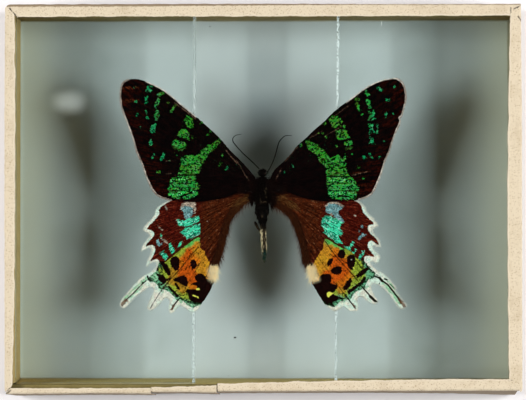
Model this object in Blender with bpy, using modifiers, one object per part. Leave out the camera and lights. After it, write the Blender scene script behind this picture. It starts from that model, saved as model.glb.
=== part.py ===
"""A day-flying moth with green, orange and black wings, shown from above in a shallow glazed case.

The case lies on its back. Its walls stand on a back board and carry a front glass, whose edges are
bound with tape. Two strips along the head and foot walls carry two loose glass plates, left and
right. The wings lie on the plates, and the body hangs in the slot between them.

Axes: X along the case, Y towards the moth's head, Z out of the front glass. The origin is the
middle of the back. Sizes below are in millimetres.
"""

import math

import bmesh
import bpy
from mathutils import Matrix, Vector

MM = 0.001

# The case, outside, over its tape.
CASE_LENGTH = 160.0
CASE_WIDTH = 120.0
CASE_HEIGHT = 27.0

# Sheets and strips that the case is made of.
CLEARANCE = 0.3
TAPE = 0.4
TAPE_EDGE_RADIUS = 0.8
WALL = 1.5
BEARER = 1.0
BACK_BOARD = 2.4
LINING = 0.3
FRONT_GLASS = 1.7
WING_PLATE = 1.1
EDGE_BEVEL = 0.12

# Heights above the back of the case.
TAPE_LOWER_EDGE = 1.5
WING_PLATE_BASE = 19.9
HINDWING_BASE = WING_PLATE_BASE + WING_PLATE + CLEARANCE
HINDWING = 0.3
FOREWING_BASE = HINDWING_BASE + HINDWING + CLEARANCE
FOREWING = 0.35

# The slot between the wing plates: x of the left plate's edge, and of the right plate's edge, which
# isn't quite straight across the case.
LEFT_PLATE_EDGE = -21.4
RIGHT_PLATE_EDGE_HEAD = 22.9
RIGHT_PLATE_EDGE_FOOT = 22.2

# Widths of the tape on the glass. The foot is bound with three lengths, of which the last one
# widens towards its right end.
HEAD_TAPE = 3.9
SIDE_TAPE_LEFT = 3.1
SIDE_TAPE_RIGHT = 3.6
FOOT_TAPE_FIRST = 1.9
FOOT_TAPE_MIDDLE = 2.3
FOOT_TAPE_LAST_START = 2.6
FOOT_TAPE_LAST_END = 4.0
FIRST_JOINT_X = -34.7
SECOND_JOINT_X = -14.3

# Outlines of the moth are read from its picture: steps across and down, and the size of one step.
PICTURE_STEP = 0.3114
PICTURE_MIDDLE = (263.5, 198.4)

# Each outline is a list of runs. A run is one smooth stretch, and it starts at a corner.
LEFT_FOREWING = [
    [(255.2, 177.0), (250, 170.5), (240, 159.5), (230, 149.7), (220, 138), (210, 128.5), (200, 119.5),
     (190, 111), (180, 102.7), (170, 94.2), (160, 87.2), (150, 82.4), (143, 79.8), (135, 78.2),
     (128, 78.8), (123, 81), (120.7, 85), (119.7, 91), (119.6, 96), (120.8, 106), (124, 115),
     (129, 128), (133.5, 141), (136, 151), (141.5, 163), (147, 179), (152, 189), (156, 194.3),
     (161, 197.3), (166, 198.5), (170, 199.6), (180, 201), (192, 201.5), (205, 200.8), (216, 199.2),
     (226, 196.8), (235, 193.5), (244, 188.6), (251, 184.6)],
    [(254.6, 184.0), (255.9, 180.5)],
]
RIGHT_FOREWING = [
    [(270.6, 177.2), (275, 169), (281, 163.5), (290, 154.5), (298, 144.6), (305, 138.5), (315, 129),
     (325, 120.5), (330, 115), (340, 106.5), (350, 99), (360, 91.5), (370, 85), (380, 80.5),
     (390, 78.2), (397, 78.2), (402.5, 82), (405.2, 88), (406.3, 95), (405.8, 102), (403, 112),
     (401.5, 116.4)],
    [(399.6, 117.2), (400.6, 121), (395.5, 133), (391.3, 145), (389.6, 151), (385, 161), (381.5, 173),
     (376.5, 185), (372, 193.6), (366, 197.3), (359, 199.3), (347, 200.8), (335, 201.2), (322, 200.8),
     (311, 199.2), (301, 196.7), (291, 193.2), (281, 190), (274, 188)],
    [(270.2, 185.0), (269.4, 181.0)],
]
LEFT_HINDWING = [
    [(251.0, 191.5), (236, 189), (215, 190), (195, 193.5), (178, 197.2), (169, 200), (164, 202.6),
     (158.5, 206.2), (155.6, 209.5), (154.8, 213.5), (152, 218), (147.5, 222.5), (144.2, 226.5)],
    [(142.8, 229.8), (146.6, 232.4), (149.6, 234.4), (148.4, 237.3), (145, 241.5), (142.4, 246)],
    [(141.0, 250.8), (145, 249), (149, 247.2), (151.4, 249.2), (150.6, 253), (148.4, 258),
     (146.6, 262.5)],
    [(146.4, 266.5), (150, 263.2), (154, 261.4), (156.6, 263.6), (155.3, 267.6), (151.3, 271.4),
     (144, 275.2), (135, 283), (128, 291.5), (122, 298.4)],
    [(119.2, 304.0), (120.4, 306.4), (123, 308)],
    [(126.5, 306.2), (130.6, 301), (136, 296), (142.5, 291.2), (148, 287.2), (152, 286.8),
     (153.9, 288.8), (151.8, 295), (148.4, 303)],
    [(147.0, 308.0), (149.6, 310.2)],
    [(153.5, 309.0), (160, 303.2), (164.8, 297.8), (167.6, 298.2), (169.8, 301), (168.6, 307)],
    [(170.0, 313.4), (174, 311), (178.4, 306.2), (182.4, 306), (187.4, 309.2), (192.6, 311.6),
     (196.6, 309.6), (201, 304.2), (206.4, 296.6), (210.8, 289), (213.6, 282.6)],
    [(215.2, 281.4), (218.4, 275.6), (220.2, 269), (224.2, 265.4), (225.2, 256), (227.2, 245),
     (230, 233), (233.4, 223), (239, 214.6), (246.4, 206)],
    [(251.2, 200.6), (252.4, 196)],
]
RIGHT_HINDWING = [
    [(273.8, 192.0), (286, 189.5), (305, 190.5), (325, 193.5), (343, 197), (356, 199.8), (361, 202.8),
     (365, 206.8), (366.6, 211.4), (371.5, 216.4), (375.6, 221)],
    [(378.4, 225.6), (374.6, 227.6), (372.4, 229.4), (373.6, 232.8), (377.2, 237), (379.8, 241.6)],
    [(380.6, 246.4), (376.6, 246.4), (373.2, 245.2), (372.6, 247.2), (375, 250.8), (378.4, 254.2)],
    [(380.2, 257.4), (378.4, 261.4)],
    [(376.0, 262.6), (371.2, 261.2), (370, 262.2), (372.6, 266.4), (378, 270.4), (385, 274.6),
     (392, 282.2), (398.6, 291.2), (403.6, 299.2)],
    [(406.8, 305.6), (402, 308.8)],
    [(398.0, 306.6), (393, 299.4), (387.4, 291.8), (381, 286.2), (376, 283.6), (372, 284),
     (371, 287.4), (373.6, 293.6)],
    [(378.2, 301.6), (374.8, 303.6)],
    [(370.4, 302.2), (366.4, 300), (362, 296.4), (358.4, 296.8), (357.2, 300), (358, 305)],
    [(357.0, 310.4), (350.6, 310.4)],
    [(346.6, 308.0), (343.4, 306), (339.4, 308.4), (334.4, 310.6), (329.4, 307.8), (324.6, 303.8),
     (320.6, 297.6), (316.4, 290.6), (312.6, 284.2)],
    [(310.8, 280.4), (307.6, 274.6), (305.6, 269), (302.2, 266), (300.4, 256), (298.6, 246),
     (294.6, 234), (290.6, 223.6), (284.6, 214.6), (278.6, 209.2)],
    [(273.8, 206.6), (273.0, 200)],
]

# The body's axis in the same picture steps, and heights in millimetres.
THORAX_MIDDLE = (262.0, 192.2, 20.4)
THORAX_RADII = (2.9, 4.64, 2.8)
HEAD_MIDDLE = (263.0, 172.3, 20.8)
HEAD_RADII = (1.25, 1.2, 1.15)
ABDOMEN = [
    # across, down, height, radius
    (262.0, 208.3, 20.3, 1.60), (262.1, 210.6, 20.3, 2.15), (262.4, 215.0, 20.3, 1.75),
    (262.8, 220.0, 20.25, 1.30), (263.1, 226.0, 20.2, 0.98), (263.6, 232.0, 20.15, 0.92),
    (264.1, 240.0, 20.1, 0.92), (264.4, 249.0, 20.0, 0.80), (264.3, 257.0, 19.9, 0.62),
    (264.2, 262.0, 19.9, 0.32),
]
LEFT_ANTENNA = [
    (259.2, 167.5, 21.4), (255.8, 165, 21.5), (249, 158.5, 21.8), (243, 153, 22.0), (237.5, 147, 22.2),
    (233.6, 142.2, 22.4), (232.8, 139.3, 22.4), (233.6, 136.8, 22.5), (236.4, 134.6, 22.5),
    (241.6, 133.8, 22.6),
]
RIGHT_ANTENNA = [
    (268.7, 170.7, 21.4), (271, 165.5, 21.5), (273.5, 160, 21.7), (275.6, 154, 21.9),
    (277.3, 147.5, 22.1), (279.2, 141.6, 22.3), (282.6, 137.6, 22.4), (286, 135.4, 22.5),
    (291.9, 135.4, 22.6),
]
ANTENNA_RADIUS = 0.15
HIND_LEG = [
    (262.0, 201.0, 17.2), (262.3, 210.0, 17.2), (262.5, 218.0, 17.5), (262.0, 226.0, 18.3),
    (260.4, 231.0, 18.7), (258.3, 228.6, 18.9), (256.1, 225.0, 19.1), (254.5, 221.4, 19.2),
]
HIND_LEG_RADIUS = 0.24

CREAM_TAPE = ((0.80, 0.68, 0.50), 0.85)
TAN_CARD = ((0.29, 0.21, 0.08), 0.9)
GREY_BOARD = ((0.33, 0.29, 0.22), 0.9)
PALE_LINING = ((0.42, 0.49, 0.47), 0.85)
CLEAR_GLASS = ((0.85, 0.93, 0.90), 0.05)
GREEN_BLACK = ((0.02, 0.05, 0.02), 0.5)
RUFOUS_ORANGE = ((0.25, 0.07, 0.02), 0.55)
BODY_BROWN = ((0.03, 0.02, 0.015), 0.8)


def clear_scene():
    """Remove every object that the scene holds."""
    for thing in list(bpy.data.objects):
        bpy.data.objects.remove(thing, do_unlink=True)


def finish_of(name, finish, see_through=False):
    """Make one object's own material from a colour and a roughness."""
    colour, roughness = finish
    material = bpy.data.materials.new(name)
    material.use_nodes = True
    shader = material.node_tree.nodes["Principled BSDF"]
    shader.inputs["Base Color"].default_value = (*colour, 1.0)
    shader.inputs["Roughness"].default_value = roughness
    shader.inputs["Metallic"].default_value = 0.0
    shader.inputs["Transmission Weight"].default_value = 1.0 if see_through else 0.0
    return material


def add_piece(name, data, finish, see_through=False):
    """Put mesh or curve data in the collection as a named piece with its own material."""
    data.materials.append(finish_of(name, finish, see_through))
    piece = bpy.data.objects.new(name, data)
    PIECES.objects.link(piece)
    return piece


def ease_edges(piece, width):
    """Take the sharp edges off a piece."""
    bevel = piece.modifiers.new("eased edges", "BEVEL")
    bevel.width = width * MM
    bevel.segments = 1
    bevel.limit_method = "ANGLE"


def slab(name, low, high, finish, see_through=False):
    """Make a flat rectangular piece between two corners, in millimetres."""
    low, high = Vector(low) * MM, Vector(high) * MM
    mesh = bpy.data.meshes.new(name)
    shape = bmesh.new()
    bmesh.ops.create_cube(shape, size=1.0)
    bmesh.ops.transform(shape, matrix=Matrix.Diagonal((*(high - low), 1.0)), verts=shape.verts)
    bmesh.ops.translate(shape, vec=(low + high) / 2, verts=shape.verts)
    shape.to_mesh(mesh)
    shape.free()
    piece = add_piece(name, mesh, finish, see_through)
    ease_edges(piece, EDGE_BEVEL)
    return piece


def in_case(across, down):
    """Turn steps in the picture into metres in the case."""
    return ((across - PICTURE_MIDDLE[0]) * PICTURE_STEP * MM,
            (PICTURE_MIDDLE[1] - down) * PICTURE_STEP * MM)


def wing(name, runs, base, thickness, finish):
    """Make a wing: a flat outline with smooth runs between its corners."""
    curve = bpy.data.curves.new(name, "CURVE")
    curve.dimensions = "2D"
    curve.fill_mode = "BOTH"
    curve.extrude = thickness / 2 * MM
    curve.resolution_u = 3
    points = [(point, place == 0) for run in runs for place, point in enumerate(run)]
    spline = curve.splines.new("BEZIER")
    spline.bezier_points.add(len(points) - 1)
    spline.use_cyclic_u = True
    for knot, (point, corner) in zip(spline.bezier_points, points):
        knot.co = (*in_case(*point), 0.0)
        knot.handle_left_type = knot.handle_right_type = "VECTOR" if corner else "AUTO"
    piece = add_piece(name, curve, finish)
    piece.location.z = (base + thickness / 2) * MM
    return piece


def strand(name, points, radius, finish, radii=None, sides=2):
    """Make a thin round piece along a path, with an own radius at each point if given."""
    curve = bpy.data.curves.new(name, "CURVE")
    curve.dimensions = "3D"
    curve.bevel_depth = radius * MM
    curve.bevel_resolution = sides
    curve.use_fill_caps = True
    curve.resolution_u = 3
    spline = curve.splines.new("BEZIER")
    spline.bezier_points.add(len(points) - 1)
    for place, (knot, (across, down, height)) in enumerate(zip(spline.bezier_points, points)):
        knot.co = (*in_case(across, down), height * MM)
        knot.handle_left_type = knot.handle_right_type = "AUTO"
        knot.radius = radii[place] / radius if radii else 1.0
    return add_piece(name, curve, finish)


def rounded_body(name, middle, radii, finish, segments=16, rings=10):
    """Make an egg-shaped piece of the body."""
    mesh = bpy.data.meshes.new(name)
    shape = bmesh.new()
    bmesh.ops.create_uvsphere(shape, u_segments=segments, v_segments=rings, radius=MM)
    bmesh.ops.scale(shape, vec=radii, verts=shape.verts)
    bmesh.ops.rotate(shape, cent=(0, 0, 0), matrix=Matrix.Rotation(math.pi / segments, 3, "Z"),
                     verts=shape.verts)
    shape.to_mesh(mesh)
    shape.free()
    mesh.shade_smooth()
    piece = add_piece(name, mesh, finish)
    piece.location = (*in_case(middle[0], middle[1]), middle[2] * MM)
    return piece


def tape_section(width, reach):
    """Give the points of the folded tape across its run: down the wall and over the glass."""
    top = CASE_HEIGHT
    arc = [(reach - TAPE_EDGE_RADIUS * (1 - math.cos(turn)), top - TAPE_EDGE_RADIUS * (1 - math.sin(turn)))
           for turn in (math.radians(step) for step in (0, 30, 60, 90))]
    return [(reach, TAPE_LOWER_EDGE), *arc, (reach - width, top), (reach - width, top - TAPE),
            (reach - TAPE, top - TAPE), (reach - TAPE, TAPE_LOWER_EDGE)]


def tape(name, turn, reach, start, end, start_width, end_width, mitred_start=True, mitred_end=True):
    """Bind one edge of the case with a folded tape.

    The strip runs from start to end along its edge, reach away from the middle of the case, and
    turn brings it round to its own side. A mitred end slants back from the case's corner.
    """
    mesh = bpy.data.meshes.new(name)
    shape = bmesh.new()
    near = [shape.verts.new((start, y, z)) for y, z in tape_section(start_width, reach)]
    far = [shape.verts.new((end, y, z)) for y, z in tape_section(end_width, reach)]
    for knots, mitred, sign in ((near, mitred_start, 1), (far, mitred_end, -1)):
        for knot in knots:
            knot.co.x += sign * ((reach - knot.co.y) if mitred else 0.0)
    first, second = shape.faces.new(near), shape.faces.new(reversed(far))
    bmesh.ops.bridge_loops(shape, edges=list(first.edges) + list(second.edges))
    bmesh.ops.recalc_face_normals(shape, faces=shape.faces)
    bmesh.ops.scale(shape, vec=(MM, MM, MM), verts=shape.verts)
    bmesh.ops.rotate(shape, cent=(0, 0, 0), matrix=Matrix.Rotation(turn, 3, "Z"), verts=shape.verts)
    shape.to_mesh(mesh)
    shape.free()
    return add_piece(name, mesh, CREAM_TAPE)


def build_case():
    """Build the back board, its lining, the walls, the bearers and the front glass."""
    long_half = CASE_LENGTH / 2 - TAPE - CLEARANCE
    short_half = CASE_WIDTH / 2 - TAPE - CLEARANCE
    inner_long, inner_short = long_half - WALL, short_half - WALL
    wall_base = BACK_BOARD + CLEARANCE
    glass_top = CASE_HEIGHT - TAPE - CLEARANCE
    glass_base = glass_top - FRONT_GLASS
    wall_top = glass_base - CLEARANCE
    bearer_outer = inner_short - CLEARANCE
    bearer_inner = bearer_outer - BEARER
    bearer_top = WING_PLATE_BASE - CLEARANCE
    side_end = inner_short - CLEARANCE
    lining_long, lining_short = inner_long - CLEARANCE, bearer_inner - CLEARANCE

    slab("back_board", (-long_half, -short_half, 0), (long_half, short_half, BACK_BOARD), GREY_BOARD)
    slab("lining_paper", (-lining_long, -lining_short, wall_base),
         (lining_long, lining_short, wall_base + LINING), PALE_LINING)
    slab("wall_head", (-long_half, inner_short, wall_base), (long_half, short_half, wall_top), TAN_CARD)
    slab("wall_foot", (-long_half, -short_half, wall_base), (long_half, -inner_short, wall_top), TAN_CARD)
    slab("wall_left", (-long_half, -side_end, wall_base), (-inner_long, side_end, wall_top), TAN_CARD)
    slab("wall_right", (inner_long, -side_end, wall_base), (long_half, side_end, wall_top), TAN_CARD)
    slab("bearer_head", (-lining_long, bearer_inner, wall_base),
         (lining_long, bearer_outer, bearer_top), TAN_CARD)
    slab("bearer_foot", (-lining_long, -bearer_outer, wall_base),
         (lining_long, -bearer_inner, bearer_top), TAN_CARD)
    slab("front_glass", (-long_half, -short_half, glass_base), (long_half, short_half, glass_top),
         CLEAR_GLASS, see_through=True)


def build_wing_plates():
    """Lay the two glass plates on the bearers, with the body's slot between them."""
    side = CASE_LENGTH / 2 - TAPE - 2 * CLEARANCE - WALL
    end = CASE_WIDTH / 2 - TAPE - 2 * CLEARANCE - WALL
    top = WING_PLATE_BASE + WING_PLATE
    slab("wing_plate_left", (-side, -end, WING_PLATE_BASE), (LEFT_PLATE_EDGE, end, top),
         CLEAR_GLASS, see_through=True)
    right = slab("wing_plate_right", (RIGHT_PLATE_EDGE_HEAD, -end, WING_PLATE_BASE), (side, end, top),
                 CLEAR_GLASS, see_through=True)
    for knot in right.data.vertices:
        if knot.co.x < side / 2 * MM and knot.co.y < 0:
            knot.co.x = RIGHT_PLATE_EDGE_FOOT * MM


def build_tape():
    """Bind the four edges of the glass. The foot takes three lengths, end to end."""
    long_half, short_half = CASE_LENGTH / 2, CASE_WIDTH / 2
    pull_back = CLEARANCE / math.sqrt(2)
    long_run, short_run = long_half - pull_back, short_half - pull_back
    seam = CLEARANCE / 2
    quarter = math.pi / 2
    tape("tape_head", 0.0, short_half, -long_run, long_run, HEAD_TAPE, HEAD_TAPE)
    tape("tape_left", quarter, long_half, -short_run, short_run, SIDE_TAPE_LEFT, SIDE_TAPE_LEFT)
    tape("tape_right", -quarter, long_half, -short_run, short_run, SIDE_TAPE_RIGHT, SIDE_TAPE_RIGHT)
    tape("tape_foot_last", 2 * quarter, short_half, -long_run, -SECOND_JOINT_X - seam,
         FOOT_TAPE_LAST_END, FOOT_TAPE_LAST_START, mitred_end=False)
    tape("tape_foot_middle", 2 * quarter, short_half, -SECOND_JOINT_X + seam, -FIRST_JOINT_X - seam,
         FOOT_TAPE_MIDDLE, FOOT_TAPE_MIDDLE, mitred_start=False, mitred_end=False)
    tape("tape_foot_first", 2 * quarter, short_half, -FIRST_JOINT_X + seam, long_run,
         FOOT_TAPE_FIRST, FOOT_TAPE_FIRST, mitred_start=False)


def build_moth():
    """Build the wings, the three parts of the body, the antennae and the one leg that shows."""
    wing("hindwing_left", LEFT_HINDWING, HINDWING_BASE, HINDWING, RUFOUS_ORANGE)
    wing("hindwing_right", RIGHT_HINDWING, HINDWING_BASE, HINDWING, RUFOUS_ORANGE)
    wing("forewing_left", LEFT_FOREWING, FOREWING_BASE, FOREWING, GREEN_BLACK)
    wing("forewing_right", RIGHT_FOREWING, FOREWING_BASE, FOREWING, GREEN_BLACK)
    rounded_body("head", HEAD_MIDDLE, HEAD_RADII, BODY_BROWN, segments=12, rings=8)
    rounded_body("thorax", THORAX_MIDDLE, THORAX_RADII, BODY_BROWN)
    strand("abdomen", [row[:3] for row in ABDOMEN], 1.0, BODY_BROWN,
           radii=[row[3] for row in ABDOMEN], sides=4)
    strand("antenna_left", LEFT_ANTENNA, ANTENNA_RADIUS, BODY_BROWN)
    strand("antenna_right", RIGHT_ANTENNA, ANTENNA_RADIUS, BODY_BROWN)
    strand("hind_leg", HIND_LEG, HIND_LEG_RADIUS, BODY_BROWN)


clear_scene()
PIECES = bpy.data.collections.new("moth in a glazed case")
bpy.context.scene.collection.children.link(PIECES)
build_case()
build_wing_plates()
build_tape()
build_moth()
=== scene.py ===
"""Looks of a mounted moth in a shallow glazed case: wings, body, hair, glass, card and paper tape.

The frame holds the solids at their real size. This script gives every solid its finish. Detailed
pieces take the place of the wings, the body, the antennae, the leg, the lining paper, the bearers
and the tape. The wing plates keep their solids, and each gets a chipped edge.

Lengths are in millimetres until a mesh is finished, which is in metres like the frame. Marks and
edges of the moth are read from its picture in picture steps: across from the left, down from the
top. One step is PICTURE_STEP millimetres on the moth.
"""

import logging
import math
from dataclasses import dataclass, field
from enum import Enum

import bmesh
import bpy
import numpy as np
from mathutils import Matrix, Vector

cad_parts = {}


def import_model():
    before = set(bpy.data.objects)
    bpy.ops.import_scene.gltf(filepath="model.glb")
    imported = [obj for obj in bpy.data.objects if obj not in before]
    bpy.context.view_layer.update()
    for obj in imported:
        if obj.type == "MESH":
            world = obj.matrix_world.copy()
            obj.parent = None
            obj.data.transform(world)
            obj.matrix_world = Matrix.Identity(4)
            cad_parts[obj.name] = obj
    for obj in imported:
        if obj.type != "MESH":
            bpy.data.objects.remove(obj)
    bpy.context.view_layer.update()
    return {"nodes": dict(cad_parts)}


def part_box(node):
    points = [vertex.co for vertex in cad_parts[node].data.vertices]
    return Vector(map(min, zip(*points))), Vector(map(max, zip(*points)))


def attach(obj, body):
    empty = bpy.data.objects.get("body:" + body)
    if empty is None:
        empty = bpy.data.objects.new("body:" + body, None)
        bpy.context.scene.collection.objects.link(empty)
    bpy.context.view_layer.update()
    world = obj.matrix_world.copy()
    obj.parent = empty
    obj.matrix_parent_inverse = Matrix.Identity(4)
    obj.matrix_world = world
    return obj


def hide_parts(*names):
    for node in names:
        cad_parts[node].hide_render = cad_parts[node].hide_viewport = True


LOG = logging.getLogger("moth in a glazed case")

MM = 0.001
PICTURE_STEP = 0.3114
PICTURE_MIDDLE = (263.5, 198.4)
CASE_HALVES = (80.0, 60.0)

Point = tuple[float, float]
Colour = tuple[float, float, float]
Place = tuple[float, float, float]
Rows = tuple[tuple[float, ...], ...]
Socket = bpy.types.NodeSocket
Node = bpy.types.Node


# ---------------------------------------------------------------------------- colours and places


def paint(red: float, green: float, blue: float) -> Colour:
    """Give the linear colour of a display colour.

    Args:
        red: Display red, 0 to 255.
        green: Display green, 0 to 255.
        blue: Display blue, 0 to 255.

    Returns:
        The three linear values.
    """
    shares = (red / 255.0, green / 255.0, blue / 255.0)
    return tuple(s / 12.92 if s <= 0.04045 else ((s + 0.055) / 1.055) ** 2.4 for s in shares)


def case_from_picture(steps: np.ndarray) -> np.ndarray:
    """Turn picture steps (rows of across, down, or one place) into millimetres in the case."""
    return (np.asarray(steps, float) - PICTURE_MIDDLE) * (PICTURE_STEP, -PICTURE_STEP)


def picture_from_case(places: np.ndarray) -> np.ndarray:
    """Turn millimetres in the case (rows of x, y) into picture steps."""
    return np.asarray(places, float) / (PICTURE_STEP, -PICTURE_STEP) + PICTURE_MIDDLE


# ---------------------------------------------------------------------------- shapes of marks


@dataclass(frozen=True)
class Blot:
    """A mark with an outline, in picture steps."""

    outline: tuple[Point, ...]
    level: float = 1.0

    def gap(self, places: np.ndarray) -> np.ndarray:
        """Give the distance to the mark's edge, below 0 inside it.

        Args:
            places: Rows of across, down.

        Returns:
            One distance a row, in picture steps.
        """
        ring = np.asarray(self.outline, float)
        away = distance_to_line(places, ring, closed=True)
        return np.where(inside_ring(places, ring), -away, away)


@dataclass(frozen=True)
class Dash:
    """A mark with a start, an end and a width, in picture steps."""

    start: Point
    end: Point
    width: float
    level: float = 1.0

    def gap(self, places: np.ndarray) -> np.ndarray:
        """Give the distance to the mark's edge, below 0 inside it."""
        line = np.asarray((self.start, self.end), float)
        return distance_to_line(places, line) - self.width / 2


@dataclass(frozen=True)
class Line:
    """A drawn line through several points, in picture steps."""

    points: tuple[Point, ...]
    width: float
    level: float = 1.0

    def gap(self, places: np.ndarray) -> np.ndarray:
        """Give the distance to the line's edge, below 0 inside it."""
        return distance_to_line(places, np.asarray(self.points, float)) - self.width / 2


Mark = Blot | Dash | Line


def distance_to_line(places: np.ndarray, line: np.ndarray, closed: bool = False) -> np.ndarray:
    """Give each place's distance to a broken line.

    Args:
        places: Rows of two numbers.
        line: The line's points.
        closed: Whether the last point joins the first.

    Returns:
        One distance a row.
    """
    starts = line if closed else line[:-1]
    ends = np.roll(line, -1, axis=0) if closed else line[1:]
    nearest = np.full(len(places), np.inf)
    for start, end in zip(starts, ends):
        run = end - start
        share = np.clip(((places - start) @ run) / max(run @ run, 1e-12), 0.0, 1.0)
        nearest = np.minimum(nearest, np.linalg.norm(places - start - share[:, None] * run, axis=1))
    return nearest


def inside_ring(places: np.ndarray, ring: np.ndarray) -> np.ndarray:
    """Say which places lie inside a closed outline."""
    across, down = places[:, 0], places[:, 1]
    within = np.zeros(len(places), bool)
    for (x0, y0), (x1, y1) in zip(ring, np.roll(ring, -1, axis=0)):
        if y0 == y1:
            continue
        crossing = (y0 > down) != (y1 > down)
        within ^= crossing & (across < (x1 - x0) * (down - y0) / (y1 - y0) + x0)
    return within


def nearest_mark(marks: list[Mark], places: np.ndarray) -> tuple[np.ndarray, np.ndarray]:
    """Give the distance to the nearest of several marks, and that mark's level.

    Args:
        marks: The marks.
        places: Rows of across, down.

    Returns:
        Distances in millimetres, below 0 inside a mark, and levels.
    """
    gaps = np.stack([mark.gap(places) for mark in marks])
    levels = np.asarray([mark.level for mark in marks])
    first = gaps.argmin(axis=0)
    return gaps[first, np.arange(len(places))] * PICTURE_STEP, levels[first]


# ---------------------------------------------------------------------------- meshes


def piece_from(work: bmesh.types.BMesh, name: str, made: bpy.types.Material, *,
               stands_for: tuple[str, ...] = ()) -> bpy.types.Object:
    """Turn a finished bmesh in millimetres into a piece of the object.

    Args:
        work: The shape, which is freed.
        name: The piece's name.
        made: Its material.
        stands_for: The frame's nodes that the piece stands for.

    Returns:
        The piece, at the origin, on the frame's one body.
    """
    bmesh.ops.scale(work, vec=(MM, MM, MM), verts=work.verts)
    mesh = bpy.data.meshes.new(name)
    work.to_mesh(mesh)
    work.free()
    return piece_of(mesh, name, made, stands_for=stands_for)


def piece_of(mesh: bpy.types.Mesh, name: str, made: bpy.types.Material, *,
             stands_for: tuple[str, ...] = ()) -> bpy.types.Object:
    """Put a finished mesh in the scene as a smooth piece of the object."""
    mesh.shade_smooth()
    mesh.materials.append(made)
    piece = bpy.data.objects.new(name, mesh)
    bpy.context.scene.collection.objects.link(piece)
    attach(piece, "root")
    if stands_for:
        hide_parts(*stands_for)
    LOG.info("%s: %d faces", name, len(mesh.polygons))
    return piece


def give_values(mesh: bpy.types.Mesh, **layers: np.ndarray) -> None:
    """Store one number, or three, for each point of a mesh under each layer's name."""
    for name, values in layers.items():
        kind, key = ("FLOAT_VECTOR", "vector") if values.ndim == 2 else ("FLOAT", "value")
        made = mesh.attributes.new(name, kind, "POINT")
        made.data.foreach_set(key, values.astype(np.float32).ravel())


def unit(rows: np.ndarray) -> np.ndarray:
    """Give every row the length 1."""
    return rows / np.linalg.norm(rows, axis=1, keepdims=True)


def places_of(mesh: bpy.types.Mesh) -> np.ndarray:
    """Give a mesh's points as rows of x, y, z."""
    flat = np.zeros(len(mesh.vertices) * 3, np.float32)
    mesh.vertices.foreach_get("co", flat)
    return flat.reshape(-1, 3).astype(float)


def move_points(mesh: bpy.types.Mesh, places: np.ndarray) -> None:
    """Put a mesh's points at new places."""
    mesh.vertices.foreach_set("co", places.astype(np.float32).ravel())
    mesh.update()


def add_thickness(piece: bpy.types.Object, thickness: float) -> None:
    """Give an open sheet its thickness, in millimetres, on the side away from its normals."""
    wall = piece.modifiers.new("thickness", "SOLIDIFY")
    wall.thickness = thickness * MM
    wall.offset = -1.0
    wall.use_even_offset = False


def soft_noise(places: np.ndarray, size: float, seed: int) -> np.ndarray:
    """Give smooth noise from -1 to 1 over rows of two or three numbers.

    Args:
        places: Rows of places.
        size: About how far apart its bumps are.
        seed: Which noise it is.

    Returns:
        One value a row.
    """
    rng = np.random.default_rng(seed)
    total = np.zeros(len(places))
    waves = 14
    for _ in range(waves):
        heading = rng.normal(size=places.shape[1])
        heading *= rng.uniform(0.5, 1.5) * 2 * math.pi / size / np.linalg.norm(heading)
        total += np.sin(places @ heading + rng.uniform(0, 2 * math.pi))
    return total / math.sqrt(waves / 2) / 2


def smooth_line(points: np.ndarray, count: int) -> np.ndarray:
    """Give places on a smooth curve through rows of numbers.

    Args:
        points: Rows that the curve runs through.
        count: How many places to give.

    Returns:
        One row a place.
    """
    rows = np.asarray(points, float)
    padded = np.vstack([2 * rows[0] - rows[1], rows, 2 * rows[-1] - rows[-2]])
    turns = np.linspace(0, len(rows) - 1, count)
    first = np.minimum(turns.astype(int), len(rows) - 2)
    t = (turns - first)[:, None]
    a, b, c, d = (padded[first + step] for step in range(4))
    return 0.5 * (2 * b + (c - a) * t + (2 * a - 5 * b + 4 * c - d) * t ** 2
                  + (3 * b - a - 3 * c + d) * t ** 3)


def tube(rows: np.ndarray, sides: int, joints: int) -> bmesh.types.BMesh:
    """Model a closed tube along a smooth curve.

    Args:
        rows: Rows of x, y, z and radius, in millimetres.
        sides: How many sides it has.
        joints: How many lengths it is cut into.

    Returns:
        The tube.
    """
    work = bmesh.new()
    bmesh.ops.create_cone(work, cap_ends=True, segments=sides, radius1=1, radius2=1, depth=1)
    bmesh.ops.translate(work, vec=(0, 0, 0.5), verts=work.verts)
    for joint in range(1, joints):
        bmesh.ops.bisect_plane(work, geom=[*work.verts, *work.edges, *work.faces], dist=1e-6,
                               plane_co=(0, 0, joint / joints), plane_no=(0, 0, 1))
    curve = smooth_line(rows, joints + 1)
    ahead = unit(np.gradient(curve[:, :3], axis=0))
    aside = [np.cross(ahead[0], (0.1, 0.2, 1.0))]
    for way in ahead:
        turned = aside[-1] - way * (aside[-1] @ way)
        aside.append(turned / np.linalg.norm(turned))
    for knot in work.verts:
        joint = round(knot.co.z * joints)
        across = aside[joint + 1]
        above = np.cross(ahead[joint], across)
        knot.co = curve[joint, :3] + curve[joint, 3] * (across * knot.co.x + above * knot.co.y)
    bmesh.ops.recalc_face_normals(work, faces=work.faces)
    return work


def roughen(mesh: bpy.types.Mesh, depth: float, size: float, seed: int) -> None:
    """Push a mesh's points in and out along their normals, in millimetres."""
    flat = np.zeros(len(mesh.vertices) * 3, np.float32)
    mesh.vertex_normals.foreach_get("vector", flat)
    places = places_of(mesh)
    push = soft_noise(places / MM, size, seed) * depth * MM
    move_points(mesh, places + flat.reshape(-1, 3) * push[:, None])


def triangle_shares(rng: np.random.Generator, count: int) -> tuple[np.ndarray, np.ndarray]:
    """Choose places spread evenly over a triangle, as shares of two of its sides."""
    first, second = rng.random((2, count))
    flip = first + second > 1
    return np.where(flip, 1 - first, first), np.where(flip, 1 - second, second)


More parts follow.
